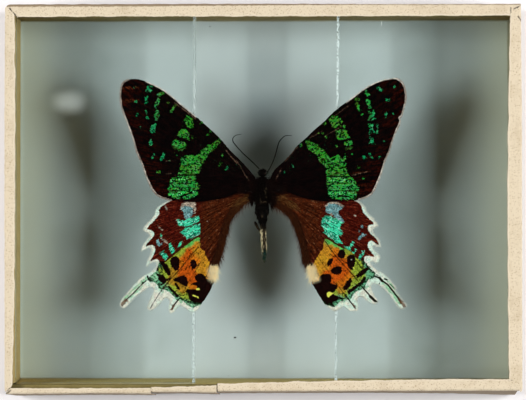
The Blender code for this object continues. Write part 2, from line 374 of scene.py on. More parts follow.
def scatter(mesh: bpy.types.Mesh, count: int,
            rng: np.random.Generator) -> tuple[np.ndarray, np.ndarray]:
    """Choose places all over a mesh.

    Args:
        mesh: The mesh.
        count: How many places.
        rng: The source of chance.

    Returns:
        The places in millimetres, and the surface's normal at each.
    """
    mesh.calc_loop_triangles()
    corners = np.zeros(len(mesh.loop_triangles) * 3, np.int32)
    mesh.loop_triangles.foreach_get("vertices", corners)
    a, b, c = places_of(mesh)[corners.reshape(-1, 3)].transpose(1, 0, 2) / MM
    normals = np.cross(b - a, c - a)
    areas = np.linalg.norm(normals, axis=1)
    chosen = rng.choice(len(areas), count, p=areas / areas.sum())
    first, second = triangle_shares(rng, count)
    spots = a[chosen] + (b - a)[chosen] * first[:, None] + (c - a)[chosen] * second[:, None]
    return spots, normals[chosen] / areas[chosen, None]


def along_line(points: np.ndarray, shares: np.ndarray) -> tuple[np.ndarray, np.ndarray]:
    """Give places and headings on a broken line.

    Args:
        points: The line's points.
        shares: How far along it each place is, 0 to 1.

    Returns:
        The places and the unit headings.
    """
    line = np.asarray(points, float)
    runs = np.diff(line, axis=0)
    lengths = np.linalg.norm(runs, axis=1)
    ends = np.cumsum(lengths)
    reach = shares * ends[-1]
    part = np.minimum(np.searchsorted(ends, reach), len(runs) - 1)
    rest = (reach - (ends[part] - lengths[part])) / lengths[part]
    return line[part] + runs[part] * rest[:, None], runs[part] / lengths[part, None]


# ---------------------------------------------------------------------------- node trees


class Graph:
    """A tree of shader nodes, with short calls to add nodes and join them."""

    def __init__(self, tree: bpy.types.NodeTree) -> None:
        """Take the tree to work in."""
        self.tree = tree

    def add(self, kind: str, inputs: dict | None = None, **settings: object) -> Node:
        """Add a node.

        Args:
            kind: The node's type, without its ShaderNode prefix.
            inputs: Values or sockets by input name or place.
            **settings: The node's own settings.

        Returns:
            The node.
        """
        node = self.tree.nodes.new("ShaderNode" + kind)
        for key, value in settings.items():
            setattr(node, key, value)
        for key, value in (inputs or {}).items():
            self.feed(node.inputs[key], value)
        return node

    def feed(self, socket: Socket, value: object) -> None:
        """Join a socket to an input, or set the input's own value."""
        if isinstance(value, Socket):
            self.tree.links.new(value, socket)
        elif socket.type == "RGBA" and len(value) == 3:
            socket.default_value = (*value, 1.0)
        else:
            socket.default_value = value

    def sum(self, operation: str, first: object, second: object = 0.0, third: object = 0.0) -> Socket:
        """Give the result of a Math node."""
        return self.add("Math", {0: first, 1: second, 2: third}, operation=operation).outputs[0]

    def times(self, first: object, second: object) -> Socket:
        """Give the product of two numbers."""
        return self.sum("MULTIPLY", first, second)

    def scaled(self, colour: object, by: object) -> Socket:
        """Give a colour or a place times one number."""
        return self.add("VectorMath", {0: colour, "Scale": by}, operation="SCALE").outputs[0]

    def blend(self, share: object, first: object, second: object, mode: str = "MIX") -> Socket:
        """Give a mix of two colours: the first where share is 0."""
        node = self.add("Mix", data_type="RGBA", blend_type=mode, clamp_factor=True)
        for place, value in ((0, share), (6, first), (7, second)):
            self.feed(node.inputs[place], value)
        return node.outputs[2]

    def fade(self, value: object, low: float, high: float, start: float = 0.0, end: float = 1.0) -> Socket:
        """Give start at low, end at high, and a smooth change between, held outside them."""
        node = self.add("MapRange", {0: value, 1: low, 2: high, 3: start, 4: end},
                        interpolation_type="SMOOTHSTEP")
        return node.outputs[0]

    def own(self, name: str, output: str = "Fac") -> Socket:
        """Read one of the piece's own attributes."""
        return self.add("Attribute", attribute_name=name).outputs[output]

    def place(self) -> Socket:
        """Give the surface's place in millimetres."""
        return self.scaled(self.add("TexCoord").outputs["Object"], 1 / MM)

    def stretch(self, spot: object, by: Place) -> Socket:
        """Scale a place by its own share on each axis."""
        return self.add("VectorMath", {0: spot, 1: by}, operation="MULTIPLY").outputs[0]

    def noise(self, spot: object, size: float, detail: float = 2.0, rough: float = 0.5,
              output: str = "Fac") -> Socket:
        """Give a Noise Texture whose bumps are about size apart."""
        node = self.add("TexNoise", {"Vector": spot, "Scale": 1 / size, "Detail": detail,
                                     "Roughness": rough})
        return node.outputs[output]

    def cells(self, spot: object, size: float, output: str = "Distance",
              random: float = 1.0) -> Socket:
        """Give a Voronoi Texture whose cells are about size across."""
        node = self.add("TexVoronoi", {"Vector": spot, "Scale": 1 / size, "Randomness": random})
        return node.outputs[output]

    def effect(self, group: bpy.types.NodeTree, inputs: dict | None = None) -> Node:
        """Place a shared effect with its own values."""
        node = self.tree.nodes.new("ShaderNodeGroup")
        node.node_tree = group
        for key, value in (inputs or {}).items():
            self.feed(node.inputs[key], value)
        return node


def new_group(name: str, inputs: dict[str, tuple[str, object]],
              outputs: dict[str, str]) -> tuple[Graph, Node, Node]:
    """Start a shared effect with named sockets.

    Args:
        name: The effect's name.
        inputs: Each input's kind and first value.
        outputs: Each output's kind.

    Returns:
        The effect's graph, the node that holds its inputs and the one that takes its outputs.
    """
    tree = bpy.data.node_groups.new(name, "ShaderNodeTree")
    for key, (kind, value) in inputs.items():
        socket = tree.interface.new_socket(name=key, in_out="INPUT", socket_type="NodeSocket" + kind)
        if value is not None:
            socket.default_value = value
    for key, kind in outputs.items():
        tree.interface.new_socket(name=key, in_out="OUTPUT", socket_type="NodeSocket" + kind)
    return Graph(tree), tree.nodes.new("NodeGroupInput"), tree.nodes.new("NodeGroupOutput")


class Effects:
    """The shader effects that several finishes share, each built once."""

    def __init__(self) -> None:
        """Build every effect."""
        self.ragged = self.build_ragged()
        self.scales = self.build_scales()
        self.streaks = self.build_streaks()
        self.paper = self.build_paper()

    @staticmethod
    def build_ragged() -> bpy.types.NodeTree:
        """Build the mask of a mark with a ragged edge, from the distance to that edge."""
        graph, given, made = new_group(
            "ragged mark",
            {"Place": ("Vector", None), "Distance": ("Float", 0.0), "Ragged": ("Float", 0.3),
             "Grain": ("Float", 0.4), "Blur": ("Float", 0.06)},
            {"Mask": "Float"})
        grain = graph.add("TexNoise", {"Vector": given.outputs["Place"], "Detail": 2.0,
                                       "Scale": graph.sum("DIVIDE", 1.0, given.outputs["Grain"])})
        edge = graph.sum("MULTIPLY_ADD", graph.sum("SUBTRACT", grain.outputs["Fac"], 0.5),
                         given.outputs["Ragged"], given.outputs["Distance"])
        low = graph.times(given.outputs["Blur"], -1.0)
        mask = graph.add("MapRange", {0: edge, 1: low, 2: given.outputs["Blur"], 3: 1.0, 4: 0.0},
                         interpolation_type="SMOOTHSTEP")
        graph.feed(made.inputs["Mask"], mask.outputs[0])
        return graph.tree

    @staticmethod
    def build_scales() -> bpy.types.NodeTree:
        """Build the level, shade and relief of wing scales, which lie in rows along the fan."""
        graph, given, made = new_group(
            "wing scales",
            {"Place": ("Vector", None), "Fan": ("Vector", None), "Size": ("Float", 0.5),
             "Contrast": ("Float", 1.0)},
            {"Level": "Float", "Shade": "Float", "Chance": "Float", "Glint": "Float", "Height": "Float"})
        turns = graph.sum("DIVIDE", 1.0, given.outputs["Size"])
        cells = graph.add("TexVoronoi", {"Vector": given.outputs["Place"], "Scale": turns})
        parts = graph.add("SeparateColor", {0: cells.outputs["Color"]})
        rows = graph.noise(graph.stretch(given.outputs["Fan"], (1.0, 0.24, 1.0)), 0.7, 1.0, 0.5)
        cloud = graph.noise(given.outputs["Place"], 0.9, 2.0, 0.6)
        mixed = graph.sum("MULTIPLY_ADD", parts.outputs[0], 3.4, graph.times(rows, 6.0))
        even = graph.sum("SUBTRACT", graph.sum("MULTIPLY_ADD", cloud, 2.4, mixed), 5.9)
        graph.feed(made.inputs["Level"], graph.sum("MULTIPLY_ADD", even, 0.26, 0.5))
        power = graph.times(even, given.outputs["Contrast"])
        graph.feed(made.inputs["Shade"], graph.sum("MINIMUM", graph.sum("POWER", 2.0, power), 2.2))
        graph.feed(made.inputs["Chance"], parts.outputs[1])
        graph.feed(made.inputs["Glint"], graph.fade(parts.outputs[2], 0.80, 0.90))
        graph.feed(made.inputs["Height"], graph.sum("SUBTRACT", 1.0, cells.outputs["Distance"]))
        return graph.tree

    @staticmethod
    def build_streaks() -> bpy.types.NodeTree:
        """Build fine streaks along a wing's fan, from its base to its margin."""
        graph, given, made = new_group(
            "fan streaks",
            {"Fan": ("Vector", None), "Fineness": ("Float", 1.0), "Length": ("Float", 6.0)},
            {"Streak": "Float", "Thread": "Float"})
        turned = graph.add("SeparateXYZ", {0: given.outputs["Fan"]})
        along = graph.sum("DIVIDE", turned.outputs["Y"], given.outputs["Length"])
        across = graph.times(turned.outputs["X"], given.outputs["Fineness"])
        spot = graph.add("CombineXYZ", {0: across, 1: along, 2: 0.0}).outputs[0]
        streak = graph.noise(spot, 1.0, 3.0, 0.6)
        thread = graph.noise(graph.stretch(spot, (4.0, 1.6, 1.0)), 1.0, 1.0, 0.5)
        graph.feed(made.inputs["Streak"], streak)
        graph.feed(made.inputs["Thread"], thread)
        return graph.tree

    def mask(self, graph: Graph, layer: str, spot: object, ragged: float, grain: float,
             blur: float) -> Socket:
        """Give the mask of one of a piece's own layers of marks, with its ragged edge.

        Args:
            graph: The material's tree.
            layer: The attribute that holds the distance to the marks' edge.
            spot: The place that the ragged edge is read at.
            ragged: How far the edge wanders.
            grain: How large its wandering is.
            blur: How soft it is.

        Returns:
            The mask, 1 inside the marks.
        """
        node = graph.effect(self.ragged, {"Place": spot, "Distance": graph.own(layer),
                                          "Ragged": ragged, "Grain": grain, "Blur": blur})
        return node.outputs["Mask"]

    @staticmethod
    def build_paper() -> bpy.types.NodeTree:
        """Build paper or card: cloudy tone, brown flecks, fibres and a fine relief."""
        graph, given, made = new_group(
            "paper and card",
            {"Place": ("Vector", None), "Colour": ("Color", (1, 1, 1, 1)),
             "Fleck Colour": ("Color", (0.2, 0.1, 0.05, 1)), "Flecks": ("Float", 0.3),
             "Grime": ("Float", 0.2)},
            {"Colour": "Color", "Height": "Float"})
        place = given.outputs["Place"]
        cloud = graph.noise(place, 6.0, 4.0, 0.6)
        fine = graph.noise(place, 0.55, 3.0, 0.7)
        fibre = graph.noise(graph.stretch(place, (0.35, 1.6, 1.0)), 0.6, 2.0, 0.6)
        tone = graph.sum("ADD", graph.fade(cloud, 0.3, 0.7, -0.5, 0.5),
                         graph.times(graph.sum("SUBTRACT", fine, 0.5), 1.2))
        darker = graph.blend(1.0, given.outputs["Colour"], (0.60, 0.52, 0.40), "MULTIPLY")
        share = graph.sum("MAXIMUM", graph.times(tone, given.outputs["Grime"]), 0.0)
        base = graph.blend(graph.times(share, 2.0), given.outputs["Colour"], darker)
        speck = graph.fade(graph.noise(place, 0.42, 2.0, 0.6), 0.60, 0.70)
        mask = graph.times(speck, given.outputs["Flecks"])
        graph.feed(made.inputs["Colour"], graph.blend(mask, base, given.outputs["Fleck Colour"]))
        graph.feed(made.inputs["Height"], graph.sum("MULTIPLY_ADD", fibre, 0.6, fine))
        return graph.tree


class Finish:
    """A material with a Principled shader, and what feeds it."""

    name: str

    def material(self, effects: Effects) -> bpy.types.Material:
        """Build the finish's material.

        Args:
            effects: The shared effects.

        Returns:
            The material.
        """
        made = bpy.data.materials.new(self.name)
        made.use_nodes = True
        graph = Graph(made.node_tree)
        shader = made.node_tree.nodes["Principled BSDF"]
        shader.inputs["Metallic"].default_value = 0.0
        self.dress(graph, shader, effects)
        return made

    def dress(self, graph: Graph, shader: Node, effects: Effects) -> None:
        """Feed the shader. Each finish has its own way."""
        raise NotImplementedError

    @staticmethod
    def surface(graph: Graph, shader: Node, colour: object, roughness: float, gloss: float) -> None:
        """Set the shader's colour, its roughness and how strongly it mirrors."""
        graph.feed(shader.inputs["Base Color"], colour)
        graph.feed(shader.inputs["Roughness"], roughness)
        graph.feed(shader.inputs["Specular IOR Level"], gloss)

    @staticmethod
    def relief(graph: Graph, shader: Node, height: object, depth: float,
               strength: float = 0.6) -> None:
        """Feed the shader's normal from a height, with depth in millimetres."""
        bump = graph.add("Bump", {"Height": height, "Distance": depth * MM, "Strength": strength})
        graph.feed(shader.inputs["Normal"], bump.outputs[0])


# ---------------------------------------------------------------------------- finishes


@dataclass(frozen=True)
class CardFinish(Finish):
    """Paper, card or board with flecks and grime."""

    name: str
    colour: Colour
    flecks: float = 0.15
    fleck_colour: Colour = (0.16, 0.08, 0.03)
    grime: float = 0.3

    def dress(self, graph: Graph, shader: Node, effects: Effects) -> None:
        """Feed colour and relief from the paper effect."""
        paper = graph.effect(effects.paper, {
            "Place": graph.place(), "Colour": self.colour, "Fleck Colour": self.fleck_colour,
            "Flecks": self.flecks, "Grime": self.grime})
        self.surface(graph, shader, paper.outputs["Colour"], roughness=0.85, gloss=0.25)
        self.relief(graph, shader, paper.outputs["Height"], depth=0.05)


@dataclass(frozen=True)
class GlassFinish(Finish):
    """Clear sheet glass, faintly green. Soft light and light for the shadows go straight through."""

    name: str
    colour: Colour
    shadow: Colour

    def dress(self, graph: Graph, shader: Node, effects: Effects) -> None:
        """Set plain glass values, and mix in a clear pane for rays to the lights and soft light."""
        for name, value in (("Base Color", self.colour), ("Roughness", 0.0), ("IOR", 1.5),
                            ("Transmission Weight", 1.0)):
            graph.feed(shader.inputs[name], value)
        clear = graph.add("BsdfTransparent", {"Color": self.shadow})
        path = graph.add("LightPath")
        soft = graph.add("MixShader", {0: path.outputs["Is Diffuse Ray"], 1: shader.outputs[0],
                                       2: clear.outputs[0]})
        mixed = graph.add("MixShader", {0: path.outputs["Is Shadow Ray"], 1: soft.outputs[0],
                                        2: clear.outputs[0]})
        output = graph.tree.nodes["Material Output"]
        graph.feed(output.inputs["Surface"], mixed.outputs[0])


@dataclass(frozen=True)
class GroundEdgeFinish(Finish):
    """The chipped, ground edge of a glass plate: a rough white line with dark gaps."""

    name: str
    bright: Colour = paint(238, 246, 242)
    dull: Colour = paint(104, 118, 112)

    def dress(self, graph: Graph, shader: Node, effects: Effects) -> None:
        """Feed colour and opacity from chips along the edge. The cut face lets little light by."""
        place = graph.place()
        chips = graph.noise(graph.stretch(place, (1.0, 0.7, 1.0)), 0.42, 3.0, 0.7)
        drift = graph.noise(place, 9.0, 2.0, 0.5)
        sparkle = graph.sum("MULTIPLY_ADD", drift, 0.5, chips)
        share = graph.fade(graph.sum("ADD", sparkle, graph.own("polish")), 0.72, 0.90)
        self.surface(graph, shader, graph.blend(share, self.dull, self.bright), roughness=0.5, gloss=0.5)
        seen = graph.times(graph.own("opacity"), graph.fade(share, 0.0, 1.0, 0.25, 1.0))
        graph.feed(shader.inputs["Alpha"], graph.sum("MAXIMUM", seen, graph.own("cut_face")))
        self.relief(graph, shader, chips, depth=0.1)


@dataclass(frozen=True)
class PlainFinish(Finish):
    """A dull finish with a cloudy tone, for the floor and small dry parts."""

    name: str
    colour: Colour
    shade: float = 0.1
    cloud: float = 1.0
    roughness: float = 0.7
    gloss: float = 0.3

    def dress(self, graph: Graph, shader: Node, effects: Effects) -> None:
        """Feed colour from soft noise."""
        dark = tuple(value * (1 - self.shade) for value in self.colour)
        light = tuple(min(1.0, value * (1 + self.shade)) for value in self.colour)
        cloud = graph.noise(graph.place(), self.cloud, 3.0, 0.6)
        colour = graph.blend(graph.fade(cloud, 0.3, 0.7), dark, light)
        self.surface(graph, shader, colour, self.roughness, self.gloss)


@dataclass(frozen=True)
class HairFinish(Finish):
    """Hair that changes from its root to its tip."""

    name: str
    root: Colour
    tip: Colour
    variety: float
    painted_glow: float = 0.0

    def dress(self, graph: Graph, shader: Node, effects: Effects) -> None:
        """Feed colour from the strand's own length and its own chance. A glow is painted light: the hair
        gives off light of its own.
        """
        along, chance = graph.own("along"), graph.own("chance")
        colour = graph.blend(along, self.root, self.tip)
        dark = graph.blend(1.0, colour, (0.35, 0.33, 0.30), "MULTIPLY")
        share = graph.times(chance, self.variety * 2)
        self.surface(graph, shader, graph.blend(share, colour, dark), roughness=0.65, gloss=0.03)
        # painted light: emission in the hair's own tip colour
        graph.feed(shader.inputs["Emission Color"], self.tip)
        graph.feed(shader.inputs["Emission Strength"], self.painted_glow)


class WingFinish(Finish):
    """What both wing finishes share: scales and streaks along the wing's fan."""

    @staticmethod
    def fabric(graph: Graph, effects: Effects, scale: Point, streak: Point) -> tuple[Node, Node]:
        """Place the scales and the streaks.

        Args:
            graph: The material's tree.
            effects: The shared effects.
            scale: The scales' size and contrast.
            streak: The streaks' fineness and length.

        Returns:
            The two effects' nodes.
        """
        fan = graph.own("fan", "Vector")
        scales = graph.effect(effects.scales, {"Place": graph.place(), "Fan": fan, "Size": scale[0],
                                               "Contrast": scale[1]})
        return scales, graph.effect(effects.streaks, {"Fan": fan, "Fineness": streak[0],
                                                      "Length": streak[1]})


@dataclass(frozen=True)
class ForewingFinish(WingFinish):
    """Black and maroon ground with green marks, dark veins and a pale fringe."""

    name: str
    black: Colour = (0.0012, 0.0004, 0.0004)
    maroon: Colour = paint(36, 6, 2)
    rust: Colour = paint(104, 46, 20)
    leaf_dark: Colour = paint(2, 22, 2)
    leaf: Colour = paint(46, 152, 38)
    leaf_pale: Colour = paint(132, 190, 112)
    mint_dark: Colour = paint(2, 28, 10)
    mint: Colour = paint(34, 172, 72)
    mint_pale: Colour = paint(124, 236, 166)
    teal: Colour = paint(20, 150, 90)
    sulphur: Colour = paint(96, 136, 30)
    olive: Colour = paint(44, 46, 6)
    streak: Colour = paint(150, 112, 92)
    pink: Colour = paint(120, 84, 80)
    fringe: Colour = paint(240, 222, 206)

    def dress(self, graph: Graph, shader: Node, effects: Effects) -> None:
        """Lay ground, streaks, greens, veins and fringe over each other."""
        place, fan = graph.place(), graph.own("fan", "Vector")
        scales, streaks = self.fabric(graph, effects, (0.42, 1.05), (0.9, 7.0))
        level, shade, chance, glint = (scales.outputs[key] for key in ("Level", "Shade", "Chance", "Glint"))
        streak, thread = streaks.outputs["Streak"], streaks.outputs["Thread"]
        bright_share = graph.own("bright")

        outer = graph.fade(graph.own("margin"), 1.0, 9.0, 1.0, 0.1)
        ground = graph.blend(graph.times(outer, graph.fade(streak, 0.42, 0.64)), self.black, self.maroon)
        rusty = graph.times(graph.own("rust"), graph.fade(thread, 0.42, 0.66))
        ground = graph.scaled(graph.blend(rusty, ground, self.rust), shade)

        tone = graph.sum("MULTIPLY_ADD", graph.sum("SUBTRACT", chance, 0.5), 0.5, graph.own("tone"))
        dark = graph.blend(tone, self.leaf_dark, self.mint_dark)
        bright = graph.blend(tone, self.leaf, self.mint)
        bright = graph.blend(graph.fade(tone, 1.0, 1.7), bright, self.teal)
        yellow = graph.times(graph.fade(chance, 0.74, 0.80, 0.0, 0.75), graph.fade(tone, 0.9, 1.5, 1.0, 0.0))
        bright = graph.blend(yellow, bright, self.sulphur)
        pale = graph.blend(tone, self.leaf_pale, self.mint_pale)
        green = graph.blend(graph.fade(level, 0.40, 0.64), dark, bright)
        lit = graph.times(glint, graph.fade(bright_share, 0.0, 1.0, 0.35, 0.9))
        green = graph.blend(lit, green, pale)
        bands = graph.fade(graph.noise(graph.stretch(fan, (0.28, 0.12, 1.0)), 1.0, 1.0), 0.56, 0.70)
        green = graph.blend(graph.times(bands, 0.6), green, self.olive)
        green = graph.scaled(green, graph.fade(bright_share, 0.0, 1.0, 0.9, 1.35))

        streaky = graph.stretch(fan, (0.7, 0.45, 1.0))
        vein = effects.mask(graph, "vein", place, 0.5, 0.5, 0.1)
        sparse = graph.sum("MULTIPLY_ADD", graph.own("level"), 1.1, graph.sum("SUBTRACT", level, 1.0))
        cover = graph.times(effects.mask(graph, "green", streaky, 1.6, 0.32, 0.04),
                            graph.fade(sparse, 0.0, 0.14))
        colour = graph.blend(graph.times(cover, graph.sum("SUBTRACT", 1.0, vein)), ground, green)

        cloud = graph.fade(graph.noise(place, 1.2, 2.0, 0.6), 0.46, 0.60)
        flecks = graph.times(graph.own("flecked"), graph.fade(graph.cells(streaky, 0.4), 0.17, 0.09))
        fleck = graph.blend(graph.fade(chance, 0.55, 0.65), self.teal, self.pink)
        colour = graph.blend(graph.times(graph.times(flecks, cloud), 0.6), colour, fleck)

        thin = graph.times(effects.mask(graph, "streak", place, 0.6, 0.4, 0.1), graph.own("streak_level"))
        thin = graph.times(thin, graph.fade(level, 0.3, 0.6, 0.2, 1.0))
        colour = graph.blend(thin, colour, self.streak)

        patchy = graph.fade(graph.noise(place, 1.6, 3.0, 0.6), 0.38, 0.58, 0.45, 1.0)
        rim = graph.times(effects.mask(graph, "fringe", place, 0.55, 0.4, 0.08), patchy)
        self.surface(graph, shader, graph.blend(rim, colour, self.fringe), roughness=0.7, gloss=0.01)
        self.relief(graph, shader, scales.outputs["Height"], depth=0.04, strength=0.5)


@dataclass(frozen=True)
class HindwingFinish(WingFinish):
    """Maroon and rufous ground, turquoise and grey marks, an orange field and a white margin."""

    name: str
    maroon: Colour = paint(58, 9, 4)
    maroon_streak: Colour = paint(142, 60, 40)
    rufous: Colour = paint(72, 27, 9)
    rufous_dark: Colour = paint(38, 11, 3)
    rufous_streak: Colour = paint(146, 98, 66)
    shadowed: Colour = paint(16, 5, 3)
    beige: Colour = paint(170, 152, 134)
    grey_blue: Colour = paint(96, 134, 136)
    grey_pale: Colour = paint(168, 190, 188)
    turquoise: Colour = paint(74, 230, 178)
    turquoise_deep: Colour = paint(8, 96, 70)
    turquoise_pale: Colour = paint(176, 255, 226)
    black: Colour = (0.0058, 0.0012, 0.0009)
    lemon: Colour = paint(232, 226, 90)
    vein: Colour = paint(48, 24, 6)
    white: Colour = paint(242, 236, 216)
    white_cool: Colour = paint(220, 238, 220)
    white_pink: Colour = paint(244, 228, 212)
    sea_dark: Colour = paint(14, 40, 18)
    tail_green: Colour = paint(126, 172, 132)
    tail_vein: Colour = paint(26, 24, 14)
    tail_brown: Colour = paint(92, 56, 34)
    cream: Colour = paint(255, 238, 192)
    dot: Colour = paint(196, 196, 186)

    def dress(self, graph: Graph, shader: Node, effects: Effects) -> None:
        """Lay the ground, the marks, the field, the margin and the veins over each other."""
        place, fan = graph.place(), graph.own("fan", "Vector")
        scales, streaks = self.fabric(graph, effects, (0.4, 0.5), (1.1, 9.0))
        streak, thread = streaks.outputs["Streak"], streaks.outputs["Thread"]
        level, shade, glint = (scales.outputs[key] for key in ("Level", "Shade", "Glint"))
        streaky = graph.stretch(fan, (0.75, 0.2, 1.0))

        def cover(layer: str, ragged: float, grain: float = 0.45, blur: float = 0.07,
                  spot: object = place) -> Socket:
            """Give a layer's mask with its ragged edge."""
            return effects.mask(graph, layer, spot, ragged, grain, blur)

        lines = graph.sum("MAXIMUM", graph.fade(thread, 0.56, 0.70, 0.0, 0.55), graph.times(glint, 0.12))
        outer = graph.blend(lines, self.maroon, self.maroon_streak)
        inner = graph.blend(graph.fade(streak, 0.35, 0.62), self.rufous_dark, self.rufous)
        lit = graph.times(glint, graph.fade(streak, 0.50, 0.62, 0.0, 0.45))
        inner = graph.blend(graph.sum("MAXIMUM", graph.fade(thread, 0.62, 0.80, 0.0, 0.4), lit), inner,
                            self.rufous_streak)
        ground = graph.blend(graph.fade(graph.own("rufous"), -2.5, 2.5, 1.0, 0.0), outer, inner)
        ground = graph.scaled(ground, shade)
        ground = graph.blend(graph.fade(graph.own("shadowed"), -0.9, 0.7, 0.85, 0.0), ground, self.shadowed)

        beige = graph.scaled(self.beige, shade)
        colour = graph.blend(graph.times(cover("beige", 1.6, 0.5, 0.2, streaky), 0.85), ground, beige)
        grey = graph.blend(graph.times(glint, 0.7), graph.scaled(self.grey_blue, shade), self.grey_pale)
        colour = graph.blend(cover("grey", 1.2, 0.45), colour, grey)
        rows = graph.fade(graph.noise(graph.stretch(fan, (1.0, 0.12, 1.0)), 0.75, 1.0, 0.5), 0.36, 0.58)
        bright = graph.blend(graph.times(rows, graph.fade(level, 0.1, 0.5)), self.turquoise_deep,
                             self.turquoise)
        bright = graph.blend(graph.times(glint, 0.6), bright, self.turquoise_pale)
        colour = graph.blend(cover("turquoise", 2.0, 0.40, 0.07, streaky), colour, bright)

        speckled = graph.own("speckled")
        tint = graph.scaled(graph.own("tint", "Color"), graph.fade(shade, 0.45, 1.6, 0.6, 1.28))
        spots = graph.fade(graph.sum("MULTIPLY_ADD", speckled, 0.46, graph.sum("SUBTRACT", 0.37, level)),
                           0.26, 0.38)
        tint = graph.blend(graph.times(spots, 0.9), tint, graph.scaled(tint, 0.16))
        colour = graph.blend(cover("field", 1.1, 0.5, 0.12, streaky), colour, tint)
        colour = graph.blend(cover("vein", 0.3, 0.6, 0.12), colour, self.vein)
        colour = graph.blend(cover("black", 0.9, 0.42), colour, graph.scaled(self.black, shade))
        colour = graph.blend(cover("lemon", 0.5, 0.4), colour, self.lemon)
        colour = graph.blend(cover("dot", 0.1, 0.4), colour, self.dot)

        drift = graph.noise(place, 1.6, 2.0, 0.5)
        margin = graph.blend(graph.fade(drift, 0.42, 0.6), self.white, self.white_cool)
        margin = graph.blend(graph.fade(graph.own("pink"), -1.0, 1.0, 0.9, 0.0), margin, self.white_pink)
        ribs = graph.fade(graph.noise(place, 0.5, 2.0), 0.35, 0.6, 0.72, 1.04)
        colour = graph.blend(cover("white", 0.7, 0.45, 0.12), colour, graph.scaled(margin, ribs))
        greenish = graph.times(cover("tail_green", 1.4, 0.5, 0.15, streaky),
                               graph.fade(level, 0.2, 0.5, 0.35, 0.95))
        colour = graph.blend(greenish, colour, graph.scaled(self.tail_green, shade))
        colour = graph.blend(cover("dark_border", 1.8, 0.55, 0.1), colour, self.sea_dark)
        colour = graph.blend(graph.fade(graph.own("cream"), -1.3, 1.2, 0.95, 0.0), colour, self.cream)
        colour = graph.blend(cover("tail_vein", 0.25, 0.45, 0.1), colour, self.tail_vein)
        colour = graph.blend(graph.times(cover("tail_brown", 1.2, 0.5, 0.2), 0.85), colour,
                             graph.scaled(self.tail_brown, shade))
        self.surface(graph, shader, colour, roughness=0.7, gloss=0.01)
        self.relief(graph, shader, scales.outputs["Height"], depth=0.04, strength=0.5)


@dataclass(frozen=True)
class LiningFinish(Finish):
    """The pale sheet that lines the case, with faint stains and a few specks, painted light and shade, and a
    brown rim of painted shade.
    """

    name: str
    colour: Colour = paint(209, 216, 214)
    stain: Colour = paint(190, 197, 193)
    # painted light and shade: the next three colours are the paler strips by the side walls, the duller
    # middle strip and the darker spots of shadow
    painted_wall_light: Colour = paint(226, 232, 222)
    dull: Colour = paint(198, 205, 203)
    clouded: Colour = paint(161, 171, 172)
    # painted shade: the brown rim darkens the sheet where it meets the walls
    rim: Colour = paint(146, 132, 84)
    speck: Colour = paint(70, 62, 50)

    def dress(self, graph: Graph, shader: Node, effects: Effects) -> None:
        """Feed colour from stains and specks, painted light in the paler strips by the side walls, painted
        shade in the duller middle strip and the darker spots, and the brown rim of painted shade.
        """
        place = graph.place()
        cloud = graph.noise(place, 14.0, 4.0, 0.55)
        colour = graph.blend(graph.fade(cloud, 0.4, 0.75, 0.0, 0.5), self.colour, self.stain)
        # painted light by the side walls, painted shade in the middle strip and in the spots of shadow
        for layer, laid in (("side", self.painted_wall_light), ("middle", self.dull), ("clouded", self.clouded)):
            colour = graph.blend(graph.own(layer), colour, laid)
        small = graph.fade(graph.cells(place, 7.0), 0.012, 0.03, 0.8, 0.0)
        colour = graph.blend(small, colour, self.speck)
        # painted shade along the sheet's edge by the walls
        rim = graph.sum("MULTIPLY_ADD", cloud, 0.6, graph.own("rim"))
        colour = graph.blend(graph.fade(rim, 1.15, 1.7, 0.7, 0.0), colour, self.rim)
        self.surface(graph, shader, colour, roughness=0.9, gloss=0.1)
        self.relief(graph, shader, graph.noise(place, 0.8, 3.0, 0.6), depth=0.012)


# ---------------------------------------------------------------------------- strands


